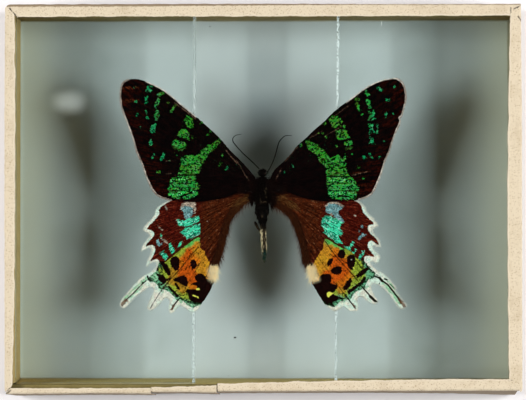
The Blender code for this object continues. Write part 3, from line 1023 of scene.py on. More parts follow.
@dataclass
class Strands:
    """Many tapered hairs as one closed mesh."""

    name: str
    slot: str
    made: bpy.types.Material
    sides: int = 3
    joints: int = 3

    def template(self) -> tuple[np.ndarray, list[list[int]]]:
        """Model one hair of length and thickness 1, which narrows to its tip.

        Returns:
            Its points, with z along it, and its faces.
        """
        work = bmesh.new()
        bmesh.ops.create_cone(work, cap_ends=True, segments=self.sides, radius1=0.5, radius2=0.0,
                              depth=1.0)
        bmesh.ops.translate(work, vec=(0, 0, 0.5), verts=work.verts)
        bmesh.ops.remove_doubles(work, verts=work.verts, dist=1e-5)
        for joint in range(1, self.joints):
            everything = [*work.verts, *work.edges, *work.faces]
            bmesh.ops.bisect_plane(work, geom=everything, dist=1e-6,
                                   plane_co=(0, 0, joint / self.joints), plane_no=(0, 0, 1))
        for knot in work.verts:
            share = knot.co.z
            fuller = (1 - share ** 2) / max(1 - share, 1e-3) if share < 1 else 1.0
            knot.co.x *= fuller
            knot.co.y *= fuller
        work.verts.index_update()
        points = np.array([knot.co[:] for knot in work.verts])
        faces = [[knot.index for knot in face.verts] for face in work.faces]
        work.free()
        return points, faces

    def grow(self, roots: np.ndarray, runs: np.ndarray, bends: np.ndarray, widths: np.ndarray,
             chances: np.ndarray) -> None:
        """Copy the hair to every root and bend each copy.

        Args:
            roots: Where the hairs start, in millimetres.
            runs: The straight way from each root to its tip.
            bends: How far each tip is carried off that way.
            widths: Each hair's thickness at its root.
            chances: Each hair's own number from 0 to 1, for its colour.
        """
        points, faces = self.template()
        count, size = len(roots), len(points)
        ahead = unit(runs)
        upright = np.where(np.abs(ahead[:, 2:3]) > 0.9, (1.0, 0.0, 0.0), (0.0, 0.0, 1.0))
        aside = unit(np.cross(ahead, upright))
        above = np.cross(aside, ahead)
        share = points[None, :, 2:3]
        width = widths[:, None, None]
        places = (roots[:, None] + runs[:, None] * share + bends[:, None] * share ** 2
                  + aside[:, None] * points[None, :, 0:1] * width
                  + above[:, None] * points[None, :, 1:2] * width)
        mesh = bpy.data.meshes.new(self.name)
        rings = [[start + knot for knot in face] for start in range(0, count * size, size)
                 for face in faces]
        mesh.from_pydata((places.reshape(-1, 3) * MM).tolist(), [], rings)
        give_values(mesh, along=np.tile(points[:, 2], count), chance=np.repeat(chances, size))
        piece_of(mesh, self.name, self.made)


# ---------------------------------------------------------------------------- wings


class Side(Enum):
    """The moth's left and right as the picture shows them."""

    LEFT = "left"
    RIGHT = "right"


@dataclass
class Wing:
    """What fore and hind wings share: a sheet cut fine enough to carry its marks.

    Its outline is the frame's solid, seen from above. Its ribs start at one place and run outward.
    """

    base: Point
    node: str
    slot: str
    height: float
    rib_start: Point
    ribs: tuple[tuple[Point, ...], ...]
    weave: float = 0.25
    thickness: float = 0.12
    rib_width: float = 0.4

    def sheet(self) -> bmesh.types.BMesh:
        """Take the solid's upper face and cut it into small squares.

        Returns:
            The sheet, flat at height 0, in millimetres.
        """
        work = bmesh.new()
        work.from_mesh(bpy.data.objects[self.node].data)
        bmesh.ops.scale(work, vec=(1 / MM, 1 / MM, 1 / MM), verts=work.verts)
        bmesh.ops.remove_doubles(work, verts=work.verts, dist=1e-4)
        work.normal_update()
        lower = [face for face in work.faces if face.normal.z < 0.5]
        bmesh.ops.delete(work, geom=lower, context="FACES")
        for knot in work.verts:
            knot.co.z = 0.0
        bmesh.ops.dissolve_faces(work, faces=work.faces[:])
        low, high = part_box(self.node)
        for axis in (0, 1):
            normal = Vector((1, 0, 0)) if axis == 0 else Vector((0, 1, 0))
            cuts = np.arange(low[axis] / MM + self.weave, high[axis] / MM, self.weave)
            self.cut(work, list(work.faces), normal, [float(cut) for cut in cuts])
        return work

    def cut(self, work: bmesh.types.BMesh, faces: list, normal: Vector, cuts: list[float]) -> None:
        """Cut faces along parallel lines, the middle line first and then each half."""
        if not cuts or not faces:
            return
        middle = len(cuts) // 2
        edges = {edge for face in faces for edge in face.edges}
        knots = {knot for face in faces for knot in face.verts}
        before = set(faces)
        made = bmesh.ops.bisect_plane(work, geom=[*faces, *edges, *knots], dist=1e-6,
                                      plane_co=normal * cuts[middle], plane_no=normal)
        whole = {item for item in made["geom"] if isinstance(item, bmesh.types.BMFace)}
        whole |= {face for face in before if face.is_valid}
        near = [face for face in whole if face.calc_center_bounds().dot(normal) < cuts[middle]]
        far = [face for face in whole if face.calc_center_bounds().dot(normal) >= cuts[middle]]
        self.cut(work, near, normal, cuts[:middle])
        self.cut(work, far, normal, cuts[middle + 1:])

    def finish(self, piece: bpy.types.Object, steps: np.ndarray, places: np.ndarray) -> None:
        """Store each point's place in the fan, raise the ribs and give the sheet its thickness.

        Args:
            piece: The wing.
            steps: Its points, as rows of across, down.
            places: Its points, as rows of x, y, z in millimetres.
        """
        give_values(piece.data, fan=self.fan(steps))
        ribs = [Line((self.rib_start, *rib), self.rib_width) for rib in self.ribs]
        places[:, 2] = self.height + self.relief(steps, nearest_mark(ribs, steps)[0])
        move_points(piece.data, places * MM)
        add_thickness(piece, self.thickness)

    def fray(self, work: bmesh.types.BMesh, depth: float, seed: int) -> tuple[np.ndarray, np.ndarray]:
        """Push the sheet's rim in and out a little.

        Args:
            work: The sheet.
            depth: How far, in millimetres.
            seed: Which noise it is.

        Returns:
            Places along the rim, and the way out of the sheet at each.
        """
        outward: dict[bmesh.types.BMVert, Vector] = {}
        for edge in work.edges:
            if edge.is_boundary:
                face = edge.link_faces[0]
                run = (edge.verts[1].co - edge.verts[0].co).normalized()
                out = run.cross(Vector((0, 0, 1)))
                if out.dot(face.calc_center_median() - edge.verts[0].co) > 0:
                    out.negate()
                for knot in edge.verts:
                    outward[knot] = outward.get(knot, Vector()) + out
        rim = np.array([knot.co[:2] for knot in outward])
        ways = np.array([way.normalized()[:2] for way in outward.values()])
        push = depth * (soft_noise(rim, 1.1, seed) + 0.7 * soft_noise(rim, 0.45, seed + 1))
        for knot, way, reach in zip(outward, ways, push):
            knot.co.x += way[0] * reach
            knot.co.y += way[1] * reach
        return rim, ways

    def scales_at_rim(self, rim: np.ndarray, ways: np.ndarray, made: bpy.types.Material, *, count: int,
                      lengths: Point, inside: float, seed: int) -> None:
        """Grow the scales that stick out of a wing's rim.

        Args:
            rim: Places along the rim, in millimetres.
            ways: The way out at each.
            made: Their material.
            count: How many scales.
            lengths: Their shortest and longest length.
            inside: How far inside the rim they start.
            seed: Which chance it is.
        """
        rng = np.random.default_rng(seed)
        chosen = rng.integers(0, len(rim), count)
        out = unit(ways[chosen] + rng.normal(0, 0.3, (count, 2)))
        spots = rim[chosen] - ways[chosen] * inside + rng.normal(0, 0.08, (count, 2))
        runs = np.column_stack([out * rng.uniform(*lengths, count)[:, None], rng.normal(0, 0.05, count)])
        roots = np.column_stack([spots, np.full(count, self.height) + rng.uniform(-0.06, 0.06, count)])
        bends = np.column_stack([rng.normal(0, 0.08, (count, 2)), np.zeros(count)])
        Strands(f"{self.node}_rim_scales", self.slot, made, joints=2).grow(
            roots, runs, bends, rng.uniform(0.09, 0.15, count), rng.random(count))

    def fan(self, steps: np.ndarray) -> np.ndarray:
        """Give each place's turn about the wing's base and its distance from it.

        Args:
            steps: Rows of across, down.

        Returns:
            Rows of turn (one unit is 1/40 of a radian), distance in millimetres, and 0.
        """
        away = (steps - self.base) * PICTURE_STEP
        turn = np.arctan2(away[:, 1], np.abs(away[:, 0]) + 1e-6) * 40.0
        return np.column_stack([turn, np.linalg.norm(away, axis=1), np.zeros(len(away))])


def blot(*outline: Point, level: float = 1.0) -> Blot:
    """Make a mark from its outline."""
    return Blot(tuple(outline), level)


def dashes(level: float, *rows: tuple[float, float, float, float, float]) -> list[Mark]:
    """Make dashes of one level from rows of start, end and width."""
    return [Dash((x0, y0), (x1, y1), width, level) for x0, y0, x1, y1, width in rows]


@dataclass
class Forewing(Wing):
    """A forewing: green bands on black, with a narrow pale fringe on its outer margin."""

    green: list[Mark] = field(default_factory=list)
    veins: list[Mark] = field(default_factory=list)
    streaks: list[Mark] = field(default_factory=list)
    rust: list[Mark] = field(default_factory=list)
    brights: list[Mark] = field(default_factory=list)
    flecked: list[Mark] = field(default_factory=list)
    outer_margin: tuple[Point, ...] = ()
    costal_span: Point = (0.0, 0.0)
    costal_foot: float = 120.0
    fringe_width: float = 0.3
    costal_width: float = 0.3
    tone_turn: float = 165.0

    def build(self, effects: Effects, finish: ForewingFinish) -> None:
        """Make the wing with its marks and its relief."""
        work = self.sheet()
        rim, ways = self.fray(work, depth=0.07, seed=3)
        piece = piece_from(work, f"{self.node}_scaled", finish.material(effects),
                           stands_for=(self.node,))
        places = places_of(piece.data) / MM
        steps = picture_from_case(places[:, :2])
        green, level = nearest_mark(self.green, steps)
        streak, streak_level = nearest_mark(self.streaks, steps)
        rust, rust_level = nearest_mark(self.rust, steps)
        margin = distance_to_line(steps, np.asarray(self.outer_margin)) * PICTURE_STEP
        fringe = np.minimum(margin - self.fringe_width, self.costal_gap(rim, steps) - self.costal_width)
        bright, flecked = (-nearest_mark(marks, steps)[0] for marks in (self.brights, self.flecked))
        give_values(piece.data, green=green, level=level, vein=nearest_mark(self.veins, steps)[0],
                    streak=streak, streak_level=streak_level, rust=np.clip(-rust, 0.0, 1.0) * rust_level,
                    margin=margin, fringe=fringe, tone=self.tone(steps, margin),
                    bright=np.clip(bright / 0.5 + 0.5, 0, 1), flecked=np.clip(flecked / 1.5, 0, 1))
        self.finish(piece, steps, places)
        outer = distance_to_line(picture_from_case(rim), np.asarray(self.outer_margin)) < 1.0
        pale = HairFinish("forewing rim scales", paint(150, 104, 84), paint(255, 246, 236), variety=0.5)
        self.scales_at_rim(rim[outer], ways[outer], pale.material(effects), count=1300,
                           lengths=(0.2, 0.5), inside=0.16, seed=7)

    def tone(self, steps: np.ndarray, margin: np.ndarray) -> np.ndarray:
        """Give how far the green turns from leaf to mint: most at the outer margin and the root."""
        down = steps[:, 1]
        toward_margin = np.clip(1.5 - margin / PICTURE_STEP / 48.0, 0.0, 1.0)
        toward_foot = np.clip((down - self.tone_turn) / 30.0, 0.0, 0.9)
        tone = np.where(down < self.tone_turn, 1.7 * toward_margin ** 3, toward_foot)
        at_root = (np.abs(steps[:, 0] - PICTURE_MIDDLE[0]) < 38.0) & (down > 140.0)
        return np.where(at_root, 1.7, tone)

    def costal_gap(self, rim: np.ndarray, steps: np.ndarray) -> np.ndarray:
        """Give the distance in millimetres to the pale part of the front edge."""
        spots = picture_from_case(rim)
        front = (spots[:, 1] < self.costal_foot) & (spots[:, 0] > self.costal_span[0])
        spots = spots[front & (spots[:, 0] < self.costal_span[1])]
        nearest = np.full(len(steps), np.inf)
        near = np.flatnonzero(steps[:, 1] < self.costal_foot + 2)
        for spot in spots:
            nearest[near] = np.minimum(nearest[near], np.linalg.norm(steps[near] - spot, axis=1))
        return nearest * PICTURE_STEP

    def relief(self, steps: np.ndarray, rib: np.ndarray) -> np.ndarray:
        """Give the sheet's height over its base: veins stand up and the membrane waves a little."""
        near_body = np.clip(1 - np.linalg.norm(steps - self.base, axis=1) / 60.0, 0, 1)
        wave = soft_noise(steps, 45.0, 5) * 0.10
        return np.exp(-(np.maximum(rib, 0) / 0.22) ** 2) * 0.07 + wave + 0.25 * near_body ** 2


@dataclass
class Hindwing(Wing):
    """A hindwing: marks on maroon, an orange field, teeth and tails with a white margin.

    Its field's colour comes from pools, each with its place and its reach in picture steps.
    """

    membrane: tuple[Point, ...] = ()
    inner_edge: tuple[Point, ...] = ()
    worn: tuple[tuple[Point, ...], ...] = ()
    layers: dict[str, list[Mark]] = field(default_factory=dict)
    pools: dict[str, list[Place]] = field(default_factory=dict)
    black_spread: float = 0.14

    POOL_COLOURS = {
        "amber": paint(194, 130, 33), "yellow": paint(196, 140, 34), "orange": paint(202, 108, 20),
        "deep_orange": paint(194, 82, 16), "mustard": paint(178, 128, 34), "lime": paint(146, 162, 50),
        "green": paint(88, 180, 84), "sea_green": paint(96, 158, 118),
    }

    def build(self, effects: Effects, finish: HindwingFinish) -> None:
        """Make the wing with its marks and its relief."""
        work = self.sheet()
        centres = picture_from_case([face.calc_center_median()[:2] for face in work.faces])
        beyond = Blot(self.inner_edge).gap(centres) > 0
        for worn in self.worn:
            beyond |= Blot(worn).gap(centres) < 0
        faces = [face for face, out in zip(list(work.faces), beyond) if out]
        bmesh.ops.delete(work, geom=faces, context="FACES")
        rim, ways = self.fray(work, depth=0.08, seed=13)
        piece = piece_from(work, f"{self.node}_scaled", finish.material(effects),
                           stands_for=(self.node,))
        places = places_of(piece.data) / MM
        steps = picture_from_case(places[:, :2])
        gaps = {layer: nearest_mark(marks, steps)[0] for layer, marks in self.layers.items()}
        gaps["black"] -= self.black_spread
        membrane = Blot(self.membrane)
        within = -membrane.gap(steps)
        give_values(piece.data, **gaps, white=within * PICTURE_STEP, tint=self.tint(steps),
                    speckled=np.clip(1.2 - within / 9.0, 0, 1) * (gaps["field"] < 0.5))
        self.finish(piece, steps, places)
        white = membrane.gap(picture_from_case(rim)) > 0.4
        pale = HairFinish("margin scales", paint(236, 234, 220), paint(248, 246, 238), variety=0.12)
        self.scales_at_rim(rim[white], ways[white], pale.material(effects), count=2000,
                           lengths=(0.25, 0.65), inside=0.3, seed=17)

    def tint(self, steps: np.ndarray) -> np.ndarray:
        """Give the field's colour: soft pools of colour that run into each other."""
        total = np.zeros((len(steps), 3))
        weight = np.full(len(steps), 1e-9)
        for name, pools in self.pools.items():
            colour = np.asarray(self.POOL_COLOURS[name])
            for across, down, reach in pools:
                away = np.linalg.norm(steps - (across, down), axis=1) / reach
                share = 1.0 / (0.15 + away ** 2) ** 2.5
                total += share[:, None] * colour
                weight += share
        return total / weight[:, None]

    def relief(self, steps: np.ndarray, rib: np.ndarray) -> np.ndarray:
        """Give the sheet's height over its base."""
        wave = soft_noise(steps, 40.0, 9) * 0.08
        return np.exp(-(np.maximum(rib, 0) / 0.2) ** 2) * 0.06 + wave


# ---------------------------------------------------------------------------- body and limbs


@dataclass(frozen=True)
class BodyFinish(Finish):
    """The dry body under its hair: dark at the front, dull brown and cream behind."""

    name: str
    dark: Colour = paint(5, 3, 2)
    brown: Colour = paint(34, 25, 15)
    cream: Colour = paint(206, 186, 146)
    tip: Colour = paint(10, 36, 30)
    middle: float = 0.28

    def dress(self, graph: Graph, shader: Node, effects: Effects) -> None:
        """Feed colour from the place along the body and specks on it."""
        place = graph.place()
        axes = graph.add("SeparateXYZ", {0: place}).outputs
        down = graph.times(axes["Y"], -1.0)
        cloud = graph.noise(place, 0.9, 3.0, 0.6)
        shifted = graph.sum("MULTIPLY_ADD", graph.sum("SUBTRACT", cloud, 0.5), 3.0, down)
        colour = graph.blend(graph.fade(shifted, 8.4, 10.4), self.dark, self.brown)
        # the cream specks are the abdomen's own colour; their pull toward its flanks is painted highlight,
        # where the side lights fall
        side = graph.sum("ABSOLUTE", graph.sum("SUBTRACT", axes["X"], self.middle))
        grain = graph.noise(graph.stretch(place, (1.0, 0.5, 1.0)), 0.45, 2.0, 0.6)
        speck = graph.fade(graph.sum("MULTIPLY_ADD", side, 0.30, grain), 0.60, 0.76, 0.0, 0.9)
        where = graph.fade(shifted, 8.8, 10.8)
        tipped = graph.fade(shifted, 15.4, 16.8)
        where = graph.times(where, graph.fade(tipped, 0.0, 1.0, 1.0, 0.25))
        colour = graph.blend(graph.times(tipped, 0.9), colour, self.tip)
        colour = graph.blend(graph.times(speck, where), colour, self.cream)
        self.surface(graph, shader, colour, roughness=0.7, gloss=0.02)
        self.relief(graph, shader, cloud, depth=0.2)


def picture_rows(rows: Rows) -> np.ndarray:
    """Turn rows of across, down, height and more into rows of x, y, height and more."""
    made = np.asarray(rows, float)
    made[:, :2] = case_from_picture(made[:, :2])
    return made


@dataclass
class Body:
    """Head, thorax and abdomen with their hair."""

    thorax_middle: Place = (262.0, 191.5, 20.6)
    thorax_radii: Place = (2.7, 4.9, 2.5)
    head_middle: Place = (262.6, 172.6, 20.9)
    head_radii: Place = (1.35, 1.25, 1.15)
    eye_radius: float = 0.62
    eye_shift: Place = (0.92, 0.12, 0.1)
    abdomen_rows: Rows = (
        (261.6, 204.0, 20.4, 1.9), (261.7, 208.0, 20.3, 2.25), (261.9, 212.0, 20.3, 2.05),
        (262.2, 216.0, 20.3, 1.7), (262.7, 221.0, 20.25, 1.25), (263.1, 226.0, 20.2, 0.98),
        (263.5, 232.0, 20.15, 0.92), (263.9, 240.0, 20.1, 0.9), (264.3, 249.0, 20.0, 0.8),
        (264.3, 257.0, 19.9, 0.6), (264.2, 261.6, 19.9, 0.3), (264.2, 262.2, 19.9, 0.08))
    # lines of pale hairs, painted highlights that stand for glints on the thorax, the abdomen and the leg
    glint_lines: tuple[tuple[Place, Place, int], ...] = (
        ((265, 187, 23.4), (266.4, 199, 23.5), 15), ((261.4, 203, 23.0), (266, 200.8, 23.2), 12),
        ((260, 196, 23.2), (261.4, 203, 23.3), 6), ((262, 213.6, 22.4), (262.4, 217, 22.2), 7),
        ((269.4, 212, 21.6), (268.6, 219, 21.3), 6), ((255.6, 223.4, 19.9), (258.4, 228.6, 19.6), 12),
        ((262, 223, 21.7), (260.6, 229, 21.4), 6))
    seed: int = 31

    def build(self, effects: Effects, finish: BodyFinish, hair: HairFinish) -> None:
        """Make the three parts, the eyes and the hair on them."""
        made, fur = finish.material(effects), hair.material(effects)
        eye = PlainFinish("eye", paint(10, 14, 10), shade=0.4, cloud=0.4, roughness=0.4, gloss=0.12)
        eye = eye.material(effects)
        rng = np.random.default_rng(self.seed)
        thorax = piece_from(self.ball(self.thorax_middle, self.thorax_radii, fineness=5), "thorax_shell",
                            made, stands_for=("thorax",)).data
        roughen(thorax, depth=0.18, size=1.8, seed=3)
        head = piece_from(self.head(), "head_shell", made, stands_for=("head",)).data
        head.materials.append(eye)
        abdomen = piece_from(tube(picture_rows(self.abdomen_rows), sides=28, joints=84), "abdomen_shell",
                             made, stands_for=("abdomen",)).data
        self.shrivel(abdomen)
        self.coat("thorax_hair", thorax, rng, fur, count=4200, lengths=(0.55, 1.35),
                  sweep=(0.0, -0.9, 0.25))
        self.coat("head_hair", head, rng, fur, count=700, lengths=(0.3, 0.7), sweep=(0.0, 0.7, 0.4))
        self.coat("abdomen_hair", abdomen, rng, fur, count=900, lengths=(0.25, 0.7),
                  sweep=(0.0, -1.2, 0.1), span=(-9.5, -2.2))
        # painted highlight: pale hairs for the glints on the dark body hair
        pale = HairFinish("glint hair", paint(120, 90, 54), paint(214, 192, 150), variety=0.6)
        self.grow_glints(rng, pale.material(effects))

    def grow_glints(self, rng: np.random.Generator, fur: bpy.types.Material) -> None:
        """Grow the few pale hairs on the thorax, the abdomen and the leg: a painted highlight that stands
        for glints on the dark hair.
        """
        spots, ways = [], []
        for start, end, count in self.glint_lines:
            first, run = np.asarray(start), np.subtract(end, start)
            line = first + run * rng.random(count)[:, None]
            spots.append(picture_rows(line) + rng.normal(0, 0.14, (count, 3)))
            ways.append(run * (1, -1, 0) + rng.normal(0, 1.5, (count, 3)) * (1, 1, 0.3))
        roots, runs = np.concatenate(spots), np.concatenate(ways)
        count = len(runs)
        runs = unit(runs) * rng.uniform(0.3, 0.7, count)[:, None]
        Strands("pale_hair", "body", fur).grow(roots, runs, rng.normal(0, 0.08, roots.shape),
                                               rng.uniform(0.04, 0.07, count), rng.random(count))

    @staticmethod
    def ball(middle: Place, radii: Place, fineness: int) -> bmesh.types.BMesh:
        """Model an egg shape from its middle in picture steps and its radii in millimetres."""
        work = bmesh.new()
        bmesh.ops.create_icosphere(work, subdivisions=fineness, radius=1.0)
        bmesh.ops.scale(work, vec=radii, verts=work.verts)
        bmesh.ops.translate(work, vec=(*case_from_picture(middle[:2]), middle[2]), verts=work.verts)
        return work

    def head(self) -> bmesh.types.BMesh:
        """Model the head with an eye on each side."""
        work = self.ball(self.head_middle, self.head_radii, fineness=4)
        middle = Vector((*case_from_picture(self.head_middle[:2]), self.head_middle[2]))
        aside, forward, up = self.eye_shift
        for sign in (-1, 1):
            made = bmesh.ops.create_icosphere(work, subdivisions=3, radius=self.eye_radius)
            bmesh.ops.translate(work, vec=middle + Vector((sign * aside, forward, up)), verts=made["verts"])
            for face in {face for knot in made["verts"] for face in knot.link_faces}:
                face.material_index = 1
        return work

    def shrivel(self, mesh: bpy.types.Mesh) -> None:
        """Press rings and wrinkles into the dried abdomen."""
        roughen(mesh, depth=0.22, size=1.6, seed=7)
        roughen(mesh, depth=0.10, size=0.6, seed=8)
        places = places_of(mesh) / MM
        rings = np.cos(places[:, 1] * 2 * math.pi / 1.9)
        middle = picture_rows(self.abdomen_rows)
        x = np.interp(-places[:, 1], -middle[:, 1], middle[:, 0])
        z = np.interp(-places[:, 1], -middle[:, 1], middle[:, 2])
        pinch = 1 - 0.06 * (rings > 0.75)
        places[:, 0] = x + (places[:, 0] - x) * pinch
        places[:, 2] = z + (places[:, 2] - z) * pinch
        move_points(mesh, places * MM)

    def coat(self, name: str, mesh: bpy.types.Mesh, rng: np.random.Generator, fur: bpy.types.Material, *,
             count: int, lengths: Point, sweep: Place, span: Point = (-99.0, 99.0)) -> None:
        """Grow hair over a part, swept one way.

        Args:
            name: The hair's name.
            mesh: The part.
            rng: The source of chance.
            fur: The hair's material.
            count: How many hairs.
            lengths: Their shortest and longest length.
            sweep: The way that they are swept.
            span: The lowest and the highest y that they grow at.
        """
        roots, normals = scatter(mesh, count, rng)
        kept = (roots[:, 1] > span[0]) & (roots[:, 1] < span[1])
        roots, normals = roots[kept], normals[kept]
        ways = unit(normals * 0.75 + np.asarray(sweep) + rng.normal(0, 0.28, roots.shape))
        runs = ways * rng.uniform(*lengths, len(roots))[:, None]
        bends = rng.normal(0, 0.12, roots.shape) + (0, -0.1, -0.12)
        widths = rng.uniform(0.05, 0.09, len(roots))
        Strands(name, "body", fur).grow(roots - normals * 0.08, runs, bends, widths, rng.random(len(roots)))


@dataclass
class Limbs:
    """Two antennae and the hind leg."""

    antennae: tuple[tuple[str, Rows], ...] = (
        ("antenna_left", (
            (259.2, 168.5, 21.3, 0.17), (255.8, 165, 21.5, 0.16), (249, 158.5, 21.8, 0.16),
            (243, 153, 22.0, 0.16), (237.5, 147, 22.2, 0.17), (233.6, 142.2, 22.4, 0.16),
            (232.8, 139.3, 22.4, 0.14), (233.6, 136.8, 22.5, 0.12), (236.4, 134.8, 22.5, 0.10),
            (241.6, 133.8, 22.6, 0.07))),
        ("antenna_right", (
            (267.6, 171.4, 21.3, 0.17), (271, 165.5, 21.5, 0.16), (273.5, 160, 21.7, 0.16),
            (275.6, 154, 21.9, 0.16), (277.3, 147.5, 22.1, 0.17), (279.2, 141.6, 22.3, 0.16),
            (282.6, 137.6, 22.4, 0.14), (286, 135.4, 22.5, 0.11), (291.9, 135.4, 22.6, 0.07))))
    leg: Rows = (
        (262, 201, 17.2, 0.22), (262.3, 210, 17.2, 0.24), (262.5, 218, 17.5, 0.24),
        (262, 226, 18.3, 0.25), (260.4, 231, 18.7, 0.30), (258.3, 228.6, 18.9, 0.36),
        (256.6, 225.6, 19.1, 0.42), (255.4, 223.0, 19.2, 0.46), (254.4, 221.0, 19.2, 0.22))

    def build(self, effects: Effects) -> None:
        """Make the antennae and the leg."""
        dark = PlainFinish("antenna", paint(14, 11, 10), shade=0.4, cloud=0.8, roughness=0.8, gloss=0.02)
        shin = PlainFinish("leg", paint(26, 18, 12), shade=0.6, cloud=0.7, roughness=0.7, gloss=0.04)
        dark, shin = dark.material(effects), shin.material(effects)
        for node, rows in self.antennae:
            piece_from(tube(picture_rows(rows), sides=10, joints=120), f"{node}_thread", dark,
                       stands_for=(node,))
        leg = piece_from(tube(picture_rows(self.leg), sides=12, joints=60), "hind_leg_bent", shin,
                         stands_for=("hind_leg",))
        roughen(leg.data, depth=0.05, size=0.5, seed=4)


@dataclass(frozen=True)
class HairSide:
    """Where the wing hair of one side grows, in picture steps. Inward is its sign toward the body."""

    side: Side
    inward: float
    edge: tuple[Point, ...]
    tuft: tuple[Point, ...]
    base: Point
    filler: tuple[Point, ...]
    golden: tuple[Point, ...]


@dataclass
class WingHair:
    """Hair that belongs to the wings: along the inner edges, at the roots and in the cream tufts."""

    sides: tuple[HairSide, ...] = (
        HairSide(Side.LEFT, 1.0,
                 edge=((252.5, 198.5), (250, 200), (242.5, 206.5), (235, 214), (230, 223), (227, 235),
                       (224, 246), (221, 257), (218.6, 264)),
                 tuft=((209.4, 266), (216.8, 264.8), (214.4, 279.6)), base=(256.0, 186.0),
                 filler=((256, 189), (247.6, 196.4), (253, 204)),
                 golden=((251.4, 197.6), (243, 199.6), (232, 206))),
        HairSide(Side.RIGHT, -1.0,
                 edge=((270.5, 198.5), (275, 206.5), (283, 211.5), (290, 218), (295, 229), (299, 241),
                       (301, 250), (302.6, 262), (306, 268.6)),
                 tuft=((315.8, 266), (308.2, 264.8), (311.8, 279.6)), base=(268.5, 186.0),
                 filler=((267.4, 189), (279, 195), (270.6, 209)),
                 golden=((274, 197.6), (284, 198.6), (296, 208))))
    fringe_count: int = 1500
    tuft_count: int = 620
    filler_count: int = 700
    golden_count: int = 170
    root_count: int = 2200
    seed: int = 57

    def build(self, effects: Effects) -> None:
        """Grow the hair of both sides."""
        brown, cream, dark, gold = (finish.material(effects) for finish in (
            HairFinish("rufous hair", paint(58, 20, 5), paint(128, 70, 38), variety=0.6),
            # the cream tuft glows: painted light that brightens it
            HairFinish("cream hair", paint(255, 220, 150), paint(255, 247, 214), variety=0.18, painted_glow=0.14),
            HairFinish("dark root hair", paint(8, 3, 3), paint(42, 17, 10), variety=0.6),
            HairFinish("golden root hair", paint(120, 62, 22), paint(206, 150, 84), variety=0.8)))
        for number, part in enumerate(self.sides):
            rng = np.random.default_rng(self.seed + number)
            self.fringe(part, rng, brown)
            self.tuft(part, rng, cream)
            self.root(part, rng, dark)
            self.filler(part, rng, dark)
            self.strands(part, rng, gold)

    @staticmethod
    def lay(hairs: Strands, spots: np.ndarray, ways: np.ndarray, rng: np.random.Generator, *,
            lengths: Point, rise: Point, heights: Point, bend: Point, widths: Point,
            bend_ways: np.ndarray | None = None, chances: np.ndarray | None = None) -> None:
        """Grow hairs that lie on a wing.

        Args:
            hairs: The hairs' name, slot and material.
            spots: Where they start, as rows of x, y in millimetres.
            ways: Which way each one runs, as rows of x, y.
            rng: The source of chance.
            lengths: Their shortest and longest length.
            rise: The middle and the spread of their tips' rise.
            heights: The lowest and the highest z that they start at.
            bend: The middle and the spread of their bends.
            widths: The smallest and the largest thickness.
            bend_ways: The way that each one bends. None lets them bend every way.
            chances: Each hair's own number, where chance doesn't choose it.
        """
        count = len(spots)
        runs = np.column_stack([ways * rng.uniform(*lengths, count)[:, None], rng.normal(*rise, count)])
        roots = np.column_stack([spots, rng.uniform(*heights, count)])
        bends = rng.normal(*bend, (count, 2 if bend_ways is None else 1))
        bends = np.column_stack([bends if bend_ways is None else bends * bend_ways, np.zeros(count)])
        thick = rng.uniform(*widths, count)
        hairs.grow(roots, runs, bends, thick, rng.random(count) if chances is None else chances)

    def fringe(self, part: HairSide, rng: np.random.Generator, fur: bpy.types.Material) -> None:
        """Grow the loose hair along a hindwing's inner edge."""
        count = self.fringe_count
        spots, headings = along_line(case_from_picture(part.edge), rng.random(count))
        outward = np.column_stack([-headings[:, 1], headings[:, 0]])
        outward *= np.where(outward[:, :1] * part.inward > 0, 1.0, -1.0)
        spots = spots - outward * rng.uniform(0.0, 2.4, count)[:, None]
        ways = unit(headings + outward * rng.gamma(2.0, 0.22, count)[:, None])
        self.lay(Strands(f"inner_edge_hair_{part.side.value}", "hindwing", fur), spots, ways, rng,
                 lengths=(1.2, 3.4), rise=(0.0, 0.12), heights=(21.38, 21.62), bend=(0.25, 0.25),
                 bend_ways=outward, widths=(0.05, 0.10))

    def tuft(self, part: HairSide, rng: np.random.Generator, fur: bpy.types.Material) -> None:
        """Grow the cream tuft at a hindwing's inner corner."""
        count = self.tuft_count
        first, second = triangle_shares(rng, count)
        a, b, c = case_from_picture(part.tuft)
        spots = a + (b - a) * first[:, None] + (c - a) * second[:, None] + rng.normal(0, 0.3, (count, 2))
        ways = np.array([0.32 * part.inward, -0.9]) + rng.normal(0, 0.28, (count, 2))
        pale = 1.1 - 1.1 * first - 0.9 * second + 0.45 * soft_noise(spots, 0.8, self.seed)
        self.lay(Strands(f"cream_tuft_{part.side.value}", "hindwing", fur), spots, ways, rng,
                 lengths=(0.6, 2.6), rise=(0.05, 0.08), heights=(21.55, 21.8),
                 bend=(0.1 * part.inward, 0.12), bend_ways=np.array([1.0, 0.0]), widths=(0.06, 0.11),
                 chances=np.clip(pale, 0, 1))

    def filler(self, part: HairSide, rng: np.random.Generator, fur: bpy.types.Material) -> None:
        """Grow the dark hair between the thorax and a hindwing's root."""
        count = self.filler_count
        first, second = triangle_shares(rng, count)
        a, b, c = case_from_picture(part.filler)
        spots = a + (b - a) * first[:, None] + (c - a) * second[:, None]
        ways = np.array([-0.45 * part.inward, -1.0]) + rng.normal(0, 0.3, (count, 2))
        self.lay(Strands(f"filler_hair_{part.side.value}", "body", fur), spots, ways, rng,
                 lengths=(0.5, 1.4), rise=(0.0, 0.06), heights=(21.2, 21.9), bend=(0.0, 0.12),
                 widths=(0.07, 0.12))

